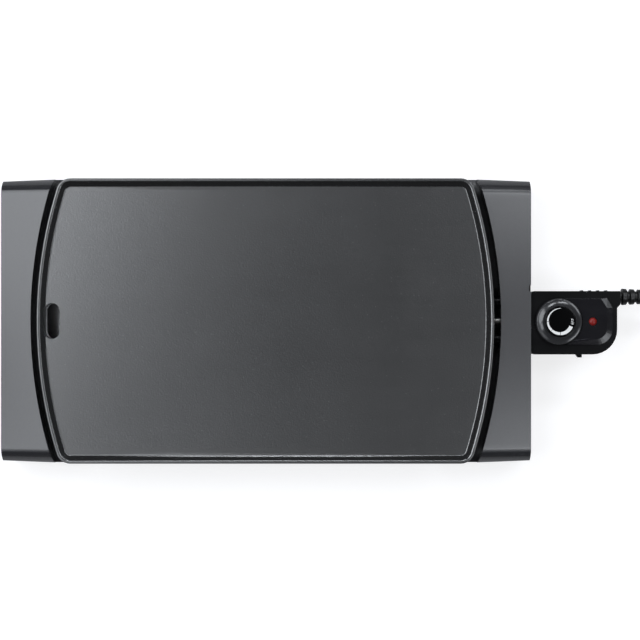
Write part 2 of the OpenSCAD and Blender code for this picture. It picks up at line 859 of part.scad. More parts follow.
module shaft_bush() {
    color("goldenrod") placed() difference() {
        union() {
            bar([dial_x, dial_y, frame_z - frame_t], shaft_d + 3, case_top - frame_z + frame_t);
            bar([dial_x, dial_y, frame_z], shaft_d + 6, case_top - case_wall - frame_z);
        }
        bar([dial_x, dial_y, frame_z - 5], shaft_d + 2 * fit, 20);
    }
}

module actuating_leaf() {
    tip_x = frame_x + frame_t + 4;
    color("goldenrod") placed() difference() {
        union() {
            block([tip_x, -3, low_leaf_z], [tag_x, 3, low_leaf_z + leaf_t]);
            block([tip_x, -3, low_leaf_z], [tip_x + leaf_t, 3, pin_z + 2]);
        }
        bar([block_x + block_w / 2, 0, 0], rivet_d + 0.1, 60);
    }
}

module contact_leaf() {
    color("goldenrod") placed() difference() {
        block([dial_x - 8, -3, high_leaf_z], [tag_x, 3, high_leaf_z + leaf_t]);
        bar([block_x + block_w / 2, 0, 0], rivet_d + 0.1, 60);
    }
}

module contact_points() {
    gap = 0.3;
    h = (high_leaf_z - low_leaf_z - leaf_t - gap) / 2;
    color("silver") placed() {
        bar([dial_x - 5, 0, low_leaf_z + leaf_t], 3.6, h);
        bar([dial_x - 5, 0, high_leaf_z - h], 3.6, h);
    }
}

module insulating_blocks() {
    levels = [
        [low_leaf_z - 4, low_leaf_z], [low_leaf_z + leaf_t, high_leaf_z],
        [high_leaf_z + leaf_t, frame_z - frame_t]
    ];
    color("ivory") placed() for (l = levels) difference() {
        block([block_x, -4.5, l[0]], [block_x + block_w, 4.5, l[1]]);
        bar([block_x + block_w / 2, 0, 0], rivet_d + 0.1, 60);
    }
}

module switch_rivet() {
    low = low_leaf_z - 4;
    color("silver") placed() union() {
        bar([block_x + block_w / 2, 0, low - 1], rivet_d + 2.4, 1);
        bar([block_x + block_w / 2, 0, low - eps], rivet_d, frame_z - low + 2 * eps);
        bar([block_x + block_w / 2, 0, frame_z], rivet_d + 2.4, 1);
    }
}

// ---- Lamp, wiring and clamp ----

module pilot_lens() {
    color("firebrick") placed() union() {
        bar([lens_x, dial_y, case_top - case_wall - 1.6], lens_d + 3, 1.6);
        bar([lens_x, dial_y, case_top - case_wall - eps], lens_d, fascia_z - case_top + case_wall + eps);
        translate([lens_x, dial_y, fascia_z - 3]) intersection() {
            sphere(r = norm([lens_d / 2, 3]));
            bar([0, 0, 3 - eps], lens_d, 3);
        }
    }
}

module neon_lamp() {
    z = case_top - case_wall - 1.9;
    color("orange") placed() union() {
        bar([lens_x, dial_y, z - 13], 5.5, 10);
        translate([lens_x, dial_y, z - 3]) sphere(d = 5.5);
    }
}

module lamp_holder() {
    z = case_top - case_wall - 14.9;
    color("ivory") placed() difference() {
        bar([lens_x, dial_y, case_z + case_wall], 8.5, z + 5 - case_z - case_wall);
        bar([lens_x, dial_y, z], 5.7, 10);
    }
}

// Wires inside the housing, each with its ends and a point between them
module inner_wires() {
    low = case_z + case_wall + 2;
    end_x = exit_x - cord_start - 0.5;
    tail_x = case_x + 12.7;
    ring_x = case_x + case_wall + 3.2;
    routes = [
        [[tail_x, pin_y - 1, pin_z], [case_x + 22, pin_y - 3, pin_z - 5],
            [case_x + 40, pin_y - 3, cord_z + 4], [end_x - 10, cord_y - 2, cord_z + 1.6],
            [end_x, cord_y - 2, cord_z + 1.6]],
        [[tail_x, -pin_y + 1, pin_z], [case_x + 22, -pin_y + 2, pin_z - 8],
            [case_x + 40, -pin_y + 4, low + 6], [tag_x + 5, -5, low_leaf_z - 1],
            [tag_x + 0.9, -1.5, low_leaf_z + leaf_t / 2]],
        [[ring_x, 0, pin_z - 13.2], [ring_x + 0.5, 8, low + 3], [case_x + 24, 12, low],
            [case_x + 44, 13, low], [end_x - 10, cord_y - 1, cord_z - 3],
            [end_x, cord_y, cord_z - 2.2]],
        [[tag_x + 0.9, 1.5, high_leaf_z + leaf_t / 2], [tag_x + 5, 2, high_leaf_z],
            [tag_x + 3, 10, cord_z + 9], [tag_x + 4, cord_y, cord_z + 7],
            [end_x - 1, cord_y + 2, cord_z + 1.6], [end_x, cord_y + 2, cord_z + 1.6]]
    ];
    color("sienna") placed() for (r = routes) tube(smooth(r), 1.1);
}

// A path through the points p, rounded at each of them
function smooth(p) = let (n = len(p)) concat(
    [p[0]],
    [for (i = [1 : n - 2], t = [0 : 0.25 : 0.75])
        let (a = (p[i - 1] + p[i]) / 2, b = (p[i] + p[i + 1]) / 2)
        (1 - t) * (1 - t) * a + 2 * t * (1 - t) * p[i] + t * t * b],
    [p[n - 1]]
);

// A hook over the lead, held by one screw at its side
module cord_clamp() {
    side_y = cord_y - cord_r - 0.15;
    color("black") placed() difference() {
        union() {
            block([clamp_x, clamp_y - 4, cord_z - clamp_t], [clamp_x + clamp_l, side_y, cord_z]);
            block([clamp_x, side_y - 2, cord_z - 1],
                [clamp_x + clamp_l, case_back - case_wall - 0.2, cord_z + cord_r + 2]);
        }
        bar_x([clamp_x - 1, cord_y, cord_z], cord_d + 0.3, clamp_l + 2);
        block([clamp_x - 1, side_y, 0], [clamp_x + clamp_l + 1, case_back, cord_z]);
        bar([clamp_x + clamp_l / 2, clamp_y, 0], small_screw_d + 0.2, rim_z);
    }
}

module clamp_screws() {
    color("silver") placed() translate([clamp_x + clamp_l / 2, clamp_y, cord_z]) difference() {
        union() {
            bar([0, 0, 0], small_head_d, small_head_h);
            bar([0, 0, -clamp_t - 5], small_screw_d - 0.1, clamp_t + 5 + eps);
        }
        block([-2, -0.5, small_head_h - 0.9], [2, 0.5, small_head_h + 1]);
        block([-0.5, -2, small_head_h - 0.9], [0.5, 2, small_head_h + 1]);
    }
}

module housing_screws() {
    color("silver") placed() for (p = case_screws())
        screw_up(p, case_z + small_head_h + 1.4, small_screw_d - 0.1, small_head_d, small_head_h,
            split_z + 10 - case_z - small_head_h);
}

// ---- Dial ----

module dial_knob() {
    r = dial_d / 2;
    color([0.06, 0.06, 0.06]) placed() translate([dial_x, dial_y, 0]) difference() {
        rotate_extrude($fn = 96) polygon(concat(
            [[0, knob_z], [r - 0.6, knob_z], [r, knob_z + 0.6], [r, knob_z + 1.6]],
            arc([r - 4, knob_z + 1.6], 4, 0, 80, 6),
            [[knob_r + 1.2, knob_z + 6.2], [knob_r, knob_z + 7.4], [knob_r, cap_z], [0, cap_z]]
        ));
        bar([0, 0, knob_z - 1], shaft_d + 0.05, cap_z - knob_z - 1);
    }
}

module dial_cap() {
    color([0.04, 0.04, 0.04]) placed() bar([dial_x, dial_y, cap_z], cap_d, case_top + dial_h - cap_z);
}

// The printed heat scale, a band that grows wider round the dial
module dial_scale() {
    out = cap_d * 0.425;
    thick = cap_d * 0.12;
    steps = 36;
    color("white") placed() translate([dial_x, dial_y, 0]) prism(concat(
        [for (i = [0 : steps]) let (a = 90 + 246 * i / steps) out * [cos(a), sin(a)]],
        [for (i = [steps : -1 : 0])
            let (a = 90 + 246 * i / steps, r = out - thick * (0.12 + 0.88 * i / steps))
            r * [cos(a), sin(a)]]
    ), case_top + dial_h, case_top + dial_h + 0.15);
}

module dial_off_mark() {
    at = [dial_x + cap_d * 0.38, dial_y, case_top + dial_h];
    color("lightgray") placed() block(at - [0.5, 2.4, 0], at + [0.5, 2.4, 0.15]);
}

module dial_shaft() {
    low = high_leaf_z + leaf_t + fit;
    color("silver") placed() bar([dial_x, dial_y, low], shaft_d, cap_z - 2 - low);
}

// ---- Lead and plug ----

module at_exit() {
    placed() translate([exit_x, cord_y, 0]) children();
}

module strain_relief() {
    rib = 7;
    color("black") at_exit() translate([0, 0, cord_z]) rotate([0, 90, 0]) difference() {
        cylinder(d1 = boot_d, d2 = boot_d - 3.5, h = boot_l);
        for (i = [0 : floor((boot_l - 10) / rib)]) translate([0, 0, 4 + rib * i]) difference() {
            cylinder(d = boot_d + 4, h = 2);
            translate([0, 0, -1]) cylinder(d = cord_d + 4, h = 4);
        }
        translate([0, 0, -1]) cylinder(d = cord_d + 0.6, h = boot_l + 2);
    }
}

module power_cord() {
    color([0.07, 0.07, 0.07]) at_exit() {
        tube(route_out, cord_r);
        tube(route_tail, cord_r);
    }
}

module coil_ring(from, sweep, in_r, out_r, low, high) {
    translate([coil_c[0], coil_c[1], 0]) rotate([0, 0, from]) rotate_extrude(angle = sweep, $fn = 96)
        translate([in_r, low]) square([out_r - in_r, high - low]);
}

module cord_coil() {
    color([0.07, 0.07, 0.07]) at_exit() union() {
        coil_ring(0, 360, coil_in - cord_r, coil_out + cord_r, 0, 2 * cord_d);
        coil_ring(0, 90, coil_out - cord_r, coil_out + cord_r, 2 * cord_d - 1, 3 * cord_d);
    }
}

module cord_tie() {
    low = coil_in - cord_r - 0.4;
    high = coil_out + cord_r + 0.4;
    w = 5;
    color("black") at_exit() translate([coil_c[0], coil_c[1], 0]) difference() {
        block([-high - 1.2, -w, 0], [-low + 1.2, w, 2 * cord_d + 1.6]);
        block([-high, -w - 1, 0], [-low, w + 1, 2 * cord_d + 0.4]);
    }
}

// The plug lies on its side, with its pins away from the coil
module at_plug() {
    at_exit() translate(plug_at) rotate([90, 0, 0]) children();
}

module plug_body() {
    r = plug_d / 2;
    color([0.07, 0.07, 0.07]) at_plug() difference() {
        union() {
            rotate_extrude($fn = 64) polygon([
                [0, 0], [6.5, 0], [8, 22], [11, 27], [r - 2.5, 36], [r, 40], [r, 62], [r - 1, 63], [0, 63]
            ]);
        }
        for (s = [-1, 1]) translate([s * 9.5, 0, 50]) cylinder(d = 4.9, h = 30);
        for (s = [-1, 1]) block([-4.5, s > 0 ? r - 2.6 : -r - 1, 44], [4.5, s > 0 ? r + 1 : -r + 2.6, 64]);
    }
}

module plug_pins() {
    color("silver") at_plug() for (s = [-1, 1]) translate([s * 9.5, 0, 50]) union() {
        cylinder(d = 4.8, h = 30);
        translate([0, 0, 30]) cylinder(d1 = 4.8, d2 = 3, h = 2);
    }
}

module plug_earth_clips() {
    r = plug_d / 2;
    color("silver") at_plug() for (s = [0, 1]) mirror([0, s, 0])
        block([-3.5, r - 2.6, 44.2], [3.5, r - 1.8, 63]);
}

griddle_plate();
heating_element();
terminal_pins();
ceramic_bushes();
terminal_bracket();
bracket_screws();
earth_contact();
left_handle();
right_handle();
spacer_sleeves();
handle_washers();
handle_screws();
rubber_feet();
tray_rails();
rail_screws();
drip_tray();
controller_base();
controller_cover();
control_fascia();
socket_block();
socket_contacts();
probe_tube();
probe_rod();
earth_ring();
switch_frame();
shaft_bush();
actuating_leaf();
contact_leaf();
contact_points();
insulating_blocks();
switch_rivet();
pilot_lens();
neon_lamp();
lamp_holder();
inner_wires();
cord_clamp();
clamp_screws();
housing_screws();
dial_knob();
dial_cap();
dial_scale();
dial_off_mark();
dial_shaft();
strain_relief();
power_cord();
cord_coil();
cord_tie();
plug_body();
plug_pins();
plug_earth_clips();
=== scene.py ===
import json
import math

import bmesh
import bpy
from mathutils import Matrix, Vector


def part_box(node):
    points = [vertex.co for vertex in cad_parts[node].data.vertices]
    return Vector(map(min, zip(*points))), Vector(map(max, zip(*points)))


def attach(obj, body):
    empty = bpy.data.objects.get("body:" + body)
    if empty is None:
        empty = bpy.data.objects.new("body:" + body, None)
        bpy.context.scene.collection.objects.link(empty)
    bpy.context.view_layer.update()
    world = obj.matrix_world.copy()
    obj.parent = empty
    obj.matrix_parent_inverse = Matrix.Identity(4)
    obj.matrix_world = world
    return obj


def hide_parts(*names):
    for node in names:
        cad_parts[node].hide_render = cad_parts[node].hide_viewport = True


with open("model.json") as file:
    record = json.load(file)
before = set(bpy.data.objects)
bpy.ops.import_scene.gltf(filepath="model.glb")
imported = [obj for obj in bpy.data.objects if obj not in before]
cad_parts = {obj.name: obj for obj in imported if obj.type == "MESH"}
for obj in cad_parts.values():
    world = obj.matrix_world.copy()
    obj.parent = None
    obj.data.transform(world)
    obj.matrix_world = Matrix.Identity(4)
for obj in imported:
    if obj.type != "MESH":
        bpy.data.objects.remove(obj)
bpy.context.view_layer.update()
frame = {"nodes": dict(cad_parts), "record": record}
record = frame["record"]
bodyOf = {node: body for body, nodes in record["behaviour"]["bodies"].items() for node in nodes}
slotOf = {part["node"]: part["material_slot"] for part in record["subparts"]}
print("frame loaded:", len(frame["nodes"]), "nodes")


# The camera looks straight down, from a little right of the plate's middle
viewSettings = {"place": (0.0090, 0.0010, 1.570), "lens": 84.4, "farEnd": 100}


def makeCamera():
    data = bpy.data.cameras.new("camera")
    data.lens = viewSettings["lens"]
    data.clip_end = viewSettings["farEnd"]
    camera = bpy.data.objects.new("camera", data)
    camera.location = viewSettings["place"]
    bpy.context.scene.collection.objects.link(camera)
    bpy.context.scene.camera = camera


makeCamera()
print("camera placed")


# Shared by the mesh helpers, in metres and degrees
meshSettings = {"weld": 2e-6, "flatAngle": 0.4, "tiny": 1e-6}


def newPiece(name, bm, body, slotName, replaced=(), smoothAngle=35):
    # smooth all over, apart from edges that turn by smoothAngle or more
    mesh = bpy.data.meshes.new(name)
    for face in bm.faces:
        face.smooth = True
    limit = math.radians(smoothAngle)
    for edge in bm.edges:
        edge.smooth = len(edge.link_faces) == 2 and edge.calc_face_angle(0) < limit
    bm.to_mesh(mesh)
    bm.free()
    piece = bpy.data.objects.new(name, mesh)
    bpy.context.scene.collection.objects.link(piece)
    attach(piece, body)
    if replaced:
        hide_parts(*replaced)
    return piece


def lathe(profile, centre, segments, axis="Z"):
    # profile: (radius, height) pairs from one end of the axis to the other
    bm = bmesh.new()
    rings = []
    for radius, height in profile:
        if radius < meshSettings["tiny"]:
            rings.append([bm.verts.new((0, 0, height))])
            continue
        ring = []
        for k in range(segments):
            a = 2 * math.pi * k / segments
            ring.append(bm.verts.new((radius * math.cos(a), radius * math.sin(a), height)))
        rings.append(ring)
    for low, high in zip(rings, rings[1:]):
        for k in range(segments):
            n = (k + 1) % segments
            corners = list(dict.fromkeys([low[k % len(low)], low[n % len(low)],
                                          high[n % len(high)], high[k % len(high)]]))
            if len(corners) > 2:
                bm.faces.new(corners)
    if axis == "X":
        turn = Vector((0, 0, 1)).rotation_difference(Vector((1, 0, 0)))
        bmesh.ops.rotate(bm, verts=bm.verts, cent=(0, 0, 0), matrix=turn.to_matrix())
    bmesh.ops.translate(bm, verts=bm.verts, vec=centre)
    bmesh.ops.recalc_face_normals(bm, faces=bm.faces)
    return bm


def arcPoints(centre, radius, start, end, steps):
    points = []
    for i in range(steps + 1):
        a = math.radians(start + (end - start) * i / steps)
        points.append((centre[0] + radius * math.cos(a), centre[1] + radius * math.sin(a)))
    return points


def cleanCopy(node):
    # the node's own mesh, welded and with its flat faces whole again
    bm = bmesh.new()
    bm.from_mesh(frame["nodes"][node].data)
    bmesh.ops.remove_doubles(bm, verts=bm.verts, dist=meshSettings["weld"])
    bmesh.ops.dissolve_limit(bm, angle_limit=math.radians(meshSettings["flatAngle"]),
                             verts=bm.verts, edges=bm.edges)
    return bm


def softened(node, width, segments, angle, specials=(), shape=None):
    # the node's own shape with its edges rounded, after shape() has changed it
    # specials: (test on an edge's ends, width, segments), worked through in order
    bm = cleanCopy(node)
    if shape:
        shape(bm)
    limit = math.radians(angle)
    for test, ownWidth, ownSegments in list(specials) + [(lambda a, b: True, width, segments)]:
        chosen = [edge for edge in bm.edges
                  if len(edge.link_faces) == 2 and edge.calc_face_angle(0) > limit
                  and test(edge.verts[0].co, edge.verts[1].co)]
        if chosen:
            bmesh.ops.bevel(bm, geom=chosen, offset=ownWidth, offset_type="OFFSET",
                            segments=ownSegments, profile=0.5, affect="EDGES", clamp_overlap=True)
    piece = newPiece(node + "_shell", bm, bodyOf[node], slotOf[node], [node])
    weights = piece.modifiers.new("weights", "WEIGHTED_NORMAL")
    weights.keep_sharp = True
    return piece


def smoothShare(value, span):
    # from 0 at the span's start to 1 at its end, with soft ends
    t = min(max((value - span[0]) / (span[1] - span[0]), 0.0), 1.0)
    return t * t * (3 - 2 * t)


# The lead: out of the controller, down to the table and into its coil
leadSettings = {
    "diameter": 0.008,
    "sides": 20,
    "smoothAngle": 60,
    "curveSteps": 3,
    "exit": (0.3133, 0.0247, 0.030),
    # from the exit, in millimetres: x out, y back, z over the table
    "wayOut": [(0, 0, 30), (18, 0, 30), (36, 0, 30), (50, 0, 30), (60, 0, 30), (68, 0, 29),
               (76, 0.4, 26.5), (83.5, 0.9, 22.2), (89.5, 1.5, 16.5), (95.5, 1.9, 10.8),
               (103, 1.7, 6.6), (111, 0.7, 4.4), (118, 0.1, 4)],
    "coilCentre": (124, -44),
    "coilRadii": (44, 36),
    # where along the coil, in degrees, it steps to its inner turns, up, out again and up once more
    "turnEnds": {"inward": (300, 345), "up": (640, 695), "outward": (985, 1040),
                 "top": (1330, 1385)},
    "coilStart": 90,
    "coilSweep": 1530,
    "coilStep": 5,
    "tail": [(168, -52, 19.6), (168, -60, 19), (168, -68, 18.5), (168, -77, 18.5)],
}


def catmull(points, steps):
    # a smooth curve through the points
    out = []
    for i in range(len(points) - 1):
        a, b, c, d = (Vector(points[max(i - 1, 0)]), Vector(points[i]), Vector(points[i + 1]),
                      Vector(points[min(i + 2, len(points) - 1)]))
        for k in range(steps):
            t = k / steps
            out.append(0.5 * (2 * b + (c - a) * t + (2 * a - 5 * b + 4 * c - d) * t * t
                              + (3 * b - a - 3 * c + d) * t ** 3))
    out.append(Vector(points[-1]))
    return out


def leadPoints():
    # worked out in millimetres from the exit, and given back in metres
    d = leadSettings
    outer, inner = d["coilRadii"]
    ends = d["turnEnds"]
    cx, cy = d["coilCentre"]
    lift = 1000 * d["diameter"]
    coil = []
    for travelled in range(0, d["coilSweep"] + 1, d["coilStep"]):
        radius = outer - (outer - inner) * (smoothShare(travelled, ends["inward"])
                                            - smoothShare(travelled, ends["outward"]))
        height = lift * (0.5 + smoothShare(travelled, ends["up"])
                         + smoothShare(travelled, ends["top"]))
        a = math.radians(d["coilStart"] - travelled)
        coil.append(Vector((cx + radius * math.cos(a), cy + radius * math.sin(a), height)))
    # two points of the coil lead the curve into it, and two lead it out
    steps = d["curveSteps"]
    way = catmull(d["wayOut"] + [tuple(coil[0]), tuple(coil[1])], steps)[:-steps - 1]
    tail = catmull([tuple(coil[-2]), tuple(coil[-1])] + d["tail"], steps)[steps + 1:]
    ex, ey, _ = d["exit"]
    return [(ex + 0.001 * p.x, ey + 0.001 * p.y, 0.001 * p.z) for p in way + coil + tail]


def tube(line, radius, sides):
    # a round tube along the line, closed at both ends
    bm = bmesh.new()
    rings = []
    for i, place in enumerate(line):
        ahead = (line[min(i + 1, len(line) - 1)] - line[max(i - 1, 0)]).normalized()
        side = ahead.cross(Vector((0, 0, 1))).normalized()
        top = side.cross(ahead)
        rings.append([bm.verts.new(place + radius * (math.cos(a) * side + math.sin(a) * top))
                      for a in (2 * math.pi * k / sides for k in range(sides))])
    for first, second in zip(rings, rings[1:]):
        for k in range(sides):
            n = (k + 1) % sides
            bm.faces.new((first[k], first[n], second[n], second[k]))
    bm.faces.new(rings[0])
    bm.faces.new(rings[-1])
    bmesh.ops.recalc_face_normals(bm, faces=bm.faces)
    return bm


def makeLead():
    line = [Vector(place) for place in leadPoints()]
    sheath = tube(line, leadSettings["diameter"] / 2, leadSettings["sides"])
    lead = newPiece("power_lead", sheath, bodyOf["power_cord"], slotOf["power_cord"],
                    ["power_cord", "cord_coil"], smoothAngle=leadSettings["smoothAngle"])
    length = sum((b - a).length for a, b in zip(line, line[1:]))
    print("lead length, m:", round(length, 4))
    return lead, line, length


leadPiece, leadLine, leadLength = makeLead()


def newGroup(name, inputs, outputs):
    # an effect that several finishes share: its tree, and its two ends
    tree = bpy.data.node_groups.new(name, "ShaderNodeTree")
    for label, kind, value in inputs:
        socket = tree.interface.new_socket(name=label, in_out="INPUT", socket_type=kind)
        socket.default_value = value
    for label, kind in outputs:
        tree.interface.new_socket(name=label, in_out="OUTPUT", socket_type=kind)
    return tree, tree.nodes.new("NodeGroupInput"), tree.nodes.new("NodeGroupOutput")


def addNode(tree, kind, **values):
    # a value goes to the node's own setting of that name, or else to its socket
    node = tree.nodes.new(kind)
    for key, value in values.items():
        if hasattr(node, key):
            setattr(node, key, value)
        else:
            node.inputs[key].default_value = value
    return node


def mathNode(tree, operation, first, second=None, third=None):
    node = tree.nodes.new("ShaderNodeMath")
    node.operation = operation
    for i, value in enumerate((first, second, third)):
        if value is None:
            continue
        if isinstance(value, (int, float)):
            node.inputs[i].default_value = value
        else:
            tree.links.new(value, node.inputs[i])
    return node.outputs[0]


def rangeNode(tree, value, low, high, toLow=0.0, toHigh=1.0):
    node = tree.nodes.new("ShaderNodeMapRange")
    tree.links.new(value, node.inputs["Value"])
    for label, end in (("From Min", low), ("From Max", high),
                       ("To Min", toLow), ("To Max", toHigh)):
        if isinstance(end, (int, float)):
            node.inputs[label].default_value = end
        else:
            tree.links.new(end, node.inputs[label])
    return node.outputs["Result"]


def splitCoordinate(tree, kind):
    # X, Y and Z of a texture coordinate: a place, or the surface's or the sky's direction
    place = tree.nodes.new("ShaderNodeTexCoord")
    split = tree.nodes.new("ShaderNodeSeparateXYZ")
    tree.links.new(place.outputs[kind], split.inputs["Vector"])
    return split.outputs


def scaledPlace(tree, scaleSocket):
    # the place on the object, times a scale
    place = tree.nodes.new("ShaderNodeTexCoord")
    scaled = tree.nodes.new("ShaderNodeVectorMath")
    scaled.operation = "SCALE"
    tree.links.new(place.outputs["Object"], scaled.inputs[0])
    tree.links.new(scaleSocket, scaled.inputs["Scale"])
    return scaled.outputs[0]


grainSettings = {"cellScale": 0.8, "cellShare": 0.25, "contrast": (0.3, 0.7)}


def makeGrainGroup():
    # fine moulded or sprayed texture: a soft value and a height
    tree, enter, leave = newGroup("fineGrain", [("Scale", "NodeSocketFloat", 900.0)],
                                  [("Value", "NodeSocketFloat"), ("Height", "NodeSocketFloat")])
    place = scaledPlace(tree, enter.outputs["Scale"])
    noise = addNode(tree, "ShaderNodeTexNoise", Scale=1.0, Detail=3.0, Roughness=0.6)
    cells = addNode(tree, "ShaderNodeTexVoronoi", feature="SMOOTH_F1",
                    Scale=grainSettings["cellScale"])
    tree.links.new(place, noise.inputs["Vector"])
    tree.links.new(place, cells.inputs["Vector"])
    tree.links.new(rangeNode(tree, noise.outputs["Fac"], *grainSettings["contrast"]),
                   leave.inputs["Value"])
    height = mathNode(tree, "MULTIPLY_ADD", cells.outputs["Distance"], grainSettings["cellShare"],
                      noise.outputs["Fac"])
    tree.links.new(height, leave.inputs["Height"])
    return tree


fleckSettings = {"smallest": 0.12, "sizeSpread": 0.25, "softness": 0.12}


def makeFleckGroup():
    # scattered mineral flecks of uneven size
    tree, enter, leave = newGroup(
        "coatingFlecks", [("Scale", "NodeSocketFloat", 700.0), ("Share", "NodeSocketFloat", 0.2)],
        [("Mask", "NodeSocketFloat")])
    place = scaledPlace(tree, enter.outputs["Scale"])
    cells = addNode(tree, "ShaderNodeTexVoronoi", Scale=1.0)
    tree.links.new(place, cells.inputs["Vector"])
    split = tree.nodes.new("ShaderNodeSeparateColor")
    tree.links.new(cells.outputs["Color"], split.inputs["Color"])
    picked = mathNode(tree, "LESS_THAN", split.outputs["Red"], enter.outputs["Share"])
    size = mathNode(tree, "MULTIPLY_ADD", split.outputs["Green"], fleckSettings["sizeSpread"],
                    fleckSettings["smallest"])
    inside = rangeNode(tree, mathNode(tree, "SUBTRACT", size, cells.outputs["Distance"]), 0.0,
                       fleckSettings["softness"])
    tree.links.new(mathNode(tree, "MULTIPLY", picked, inside), leave.inputs["Mask"])
    return tree


edgeWearAndHighlightSettings = {"edgeStart": 0.56, "edgeEnd": 0.70, "breakupScale": 140.0,
                "breakup": (0.38, 0.62)}


def makeEdgeWearAndHighlightGroup():
    # bright edges, broken up by noise: partly rubbed wear, partly a painted highlight along the
    # bevels
    tree, enter, leave = newGroup(
        "edgeWearAndPaintedHighlight", [("Edge Start", "NodeSocketFloat", edgeWearAndHighlightSettings["edgeStart"]),
                        ("Edge End", "NodeSocketFloat", edgeWearAndHighlightSettings["edgeEnd"]),
                        ("Breakup Scale", "NodeSocketFloat", edgeWearAndHighlightSettings["breakupScale"])],
        [("Mask", "NodeSocketFloat")])
    geometry = tree.nodes.new("ShaderNodeNewGeometry")
    edge = rangeNode(tree, geometry.outputs["Pointiness"], enter.outputs["Edge Start"],
                     enter.outputs["Edge End"])
    noise = addNode(tree, "ShaderNodeTexNoise", Scale=1.0, Detail=4.0, Roughness=0.65)
    tree.links.new(scaledPlace(tree, enter.outputs["Breakup Scale"]), noise.inputs["Vector"])
    broken = rangeNode(tree, noise.outputs["Fac"], *edgeWearAndHighlightSettings["breakup"])
    tree.links.new(mathNode(tree, "MULTIPLY", edge, broken), leave.inputs["Mask"])
    return tree


smudgeSettings = {"clouds": 0.65, "streaks": 0.35, "streakStretch": (0.6, 6.0, 3.0),
                  "streakTurn": (0.0, 0.0, 0.5), "contrast": (0.35, 0.65)}


def makeSmudgeGroup():
    # wipe marks and handling: a slow cloudy value with faint streaks
    tree, enter, leave = newGroup(
        "handlingMarks", [("Scale", "NodeSocketFloat", 14.0), ("Low", "NodeSocketFloat", 0.3),
                          ("High", "NodeSocketFloat", 0.5)], [("Value", "NodeSocketFloat")])
    place = scaledPlace(tree, enter.outputs["Scale"])
    clouds = addNode(tree, "ShaderNodeTexNoise", Scale=1.0, Detail=5.0, Roughness=0.55,
                     Distortion=0.6)
    tree.links.new(place, clouds.inputs["Vector"])
    stretched = tree.nodes.new("ShaderNodeMapping")
    stretched.inputs["Scale"].default_value = smudgeSettings["streakStretch"]
    stretched.inputs["Rotation"].default_value = smudgeSettings["streakTurn"]
    tree.links.new(place, stretched.inputs["Vector"])
    streaks = addNode(tree, "ShaderNodeTexNoise", Scale=1.0, Detail=2.0)
    tree.links.new(stretched.outputs["Vector"], streaks.inputs["Vector"])
    both = mathNode(tree, "MULTIPLY_ADD", streaks.outputs["Fac"], smudgeSettings["streaks"],
                    mathNode(tree, "MULTIPLY", clouds.outputs["Fac"], smudgeSettings["clouds"]))
    tree.links.new(rangeNode(tree, both, *smudgeSettings["contrast"], enter.outputs["Low"],
                             enter.outputs["High"]), leave.inputs["Value"])
    return tree


drawSettings = {"stretch": (0.25, 18.0, 18.0)}


def makeDrawGroup():
    # fine lines left by rolling or turning, along the object's length
    tree, enter, leave = newGroup("drawnLines", [("Scale", "NodeSocketFloat", 60.0)],
                                  [("Value", "NodeSocketFloat")])
    stretched = tree.nodes.new("ShaderNodeMapping")
    stretched.inputs["Scale"].default_value = drawSettings["stretch"]
    tree.links.new(scaledPlace(tree, enter.outputs["Scale"]), stretched.inputs["Vector"])
    lines = addNode(tree, "ShaderNodeTexNoise", Scale=1.0, Detail=3.0, Roughness=0.7)
    tree.links.new(stretched.outputs["Vector"], lines.inputs["Vector"])
    tree.links.new(lines.outputs["Fac"], leave.inputs["Value"])
    return tree


grainGroup = makeGrainGroup()
fleckGroup = makeFleckGroup()
edgeWearAndHighlightGroup = makeEdgeWearAndHighlightGroup()
smudgeGroup = makeSmudgeGroup()
drawGroup = makeDrawGroup()


def placeGroup(tree, group, **values):
    # a shared effect in one material, with that material's own values
    node = tree.nodes.new("ShaderNodeGroup")
    node.node_tree = group
    for label, value in values.items():
        node.inputs[label].default_value = value
    return node


def mixColour(tree, mask, first, second):
    node = tree.nodes.new("ShaderNodeMix")
    node.data_type = "RGBA"
    # a colour mix has its factor in socket 0, its colours in 6 and 7, and its result in output 2
    for index, value in ((0, mask), (6, first), (7, second)):
        if isinstance(value, tuple):
            node.inputs[index].default_value = (*value, 1.0)
        else:
            tree.links.new(value, node.inputs[index])
    return node.outputs[2]


# Where the plate's spout gets a painted highlight, in metres; how upright a normal is on slopes and
# level
spoutSettings = {"below": 0.0520, "leftOf": -0.2460, "halfLength": 0.0190}
levelSettings = {"slope": 0.84, "level": 0.96}


def spoutMask(tree):
    # a light streak painted on the wall inside the plate's spout, as a highlight
    place = splitCoordinate(tree, "Object")
    low = mathNode(tree, "LESS_THAN", place["Z"], spoutSettings["below"])
    left = mathNode(tree, "LESS_THAN", place["X"], spoutSettings["leftOf"])
    across = mathNode(tree, "ABSOLUTE", place["Y"])
    middle = mathNode(tree, "LESS_THAN", across, spoutSettings["halfLength"])
    return mathNode(tree, "MULTIPLY", mathNode(tree, "MULTIPLY", low, left), middle)


def levelMask(tree):
    # 1 on level surfaces, 0 on slopes and walls, where the coating lies smoother
    upright = mathNode(tree, "ABSOLUTE", splitCoordinate(tree, "Normal")["Z"])
    return rangeNode(tree, upright, levelSettings["slope"], levelSettings["level"])


# What a finish has unless its own entry says otherwise
finishDefaults = {"metallic": 0.0, "ior": 1.5, "specular": 0.5, "anisotropic": 0.0,
                  "transmission": 0.0, "cloudScale": 22.0, "markScale": 16.0, "depth": 0.00006,
                  "lineGloss": 0.2}


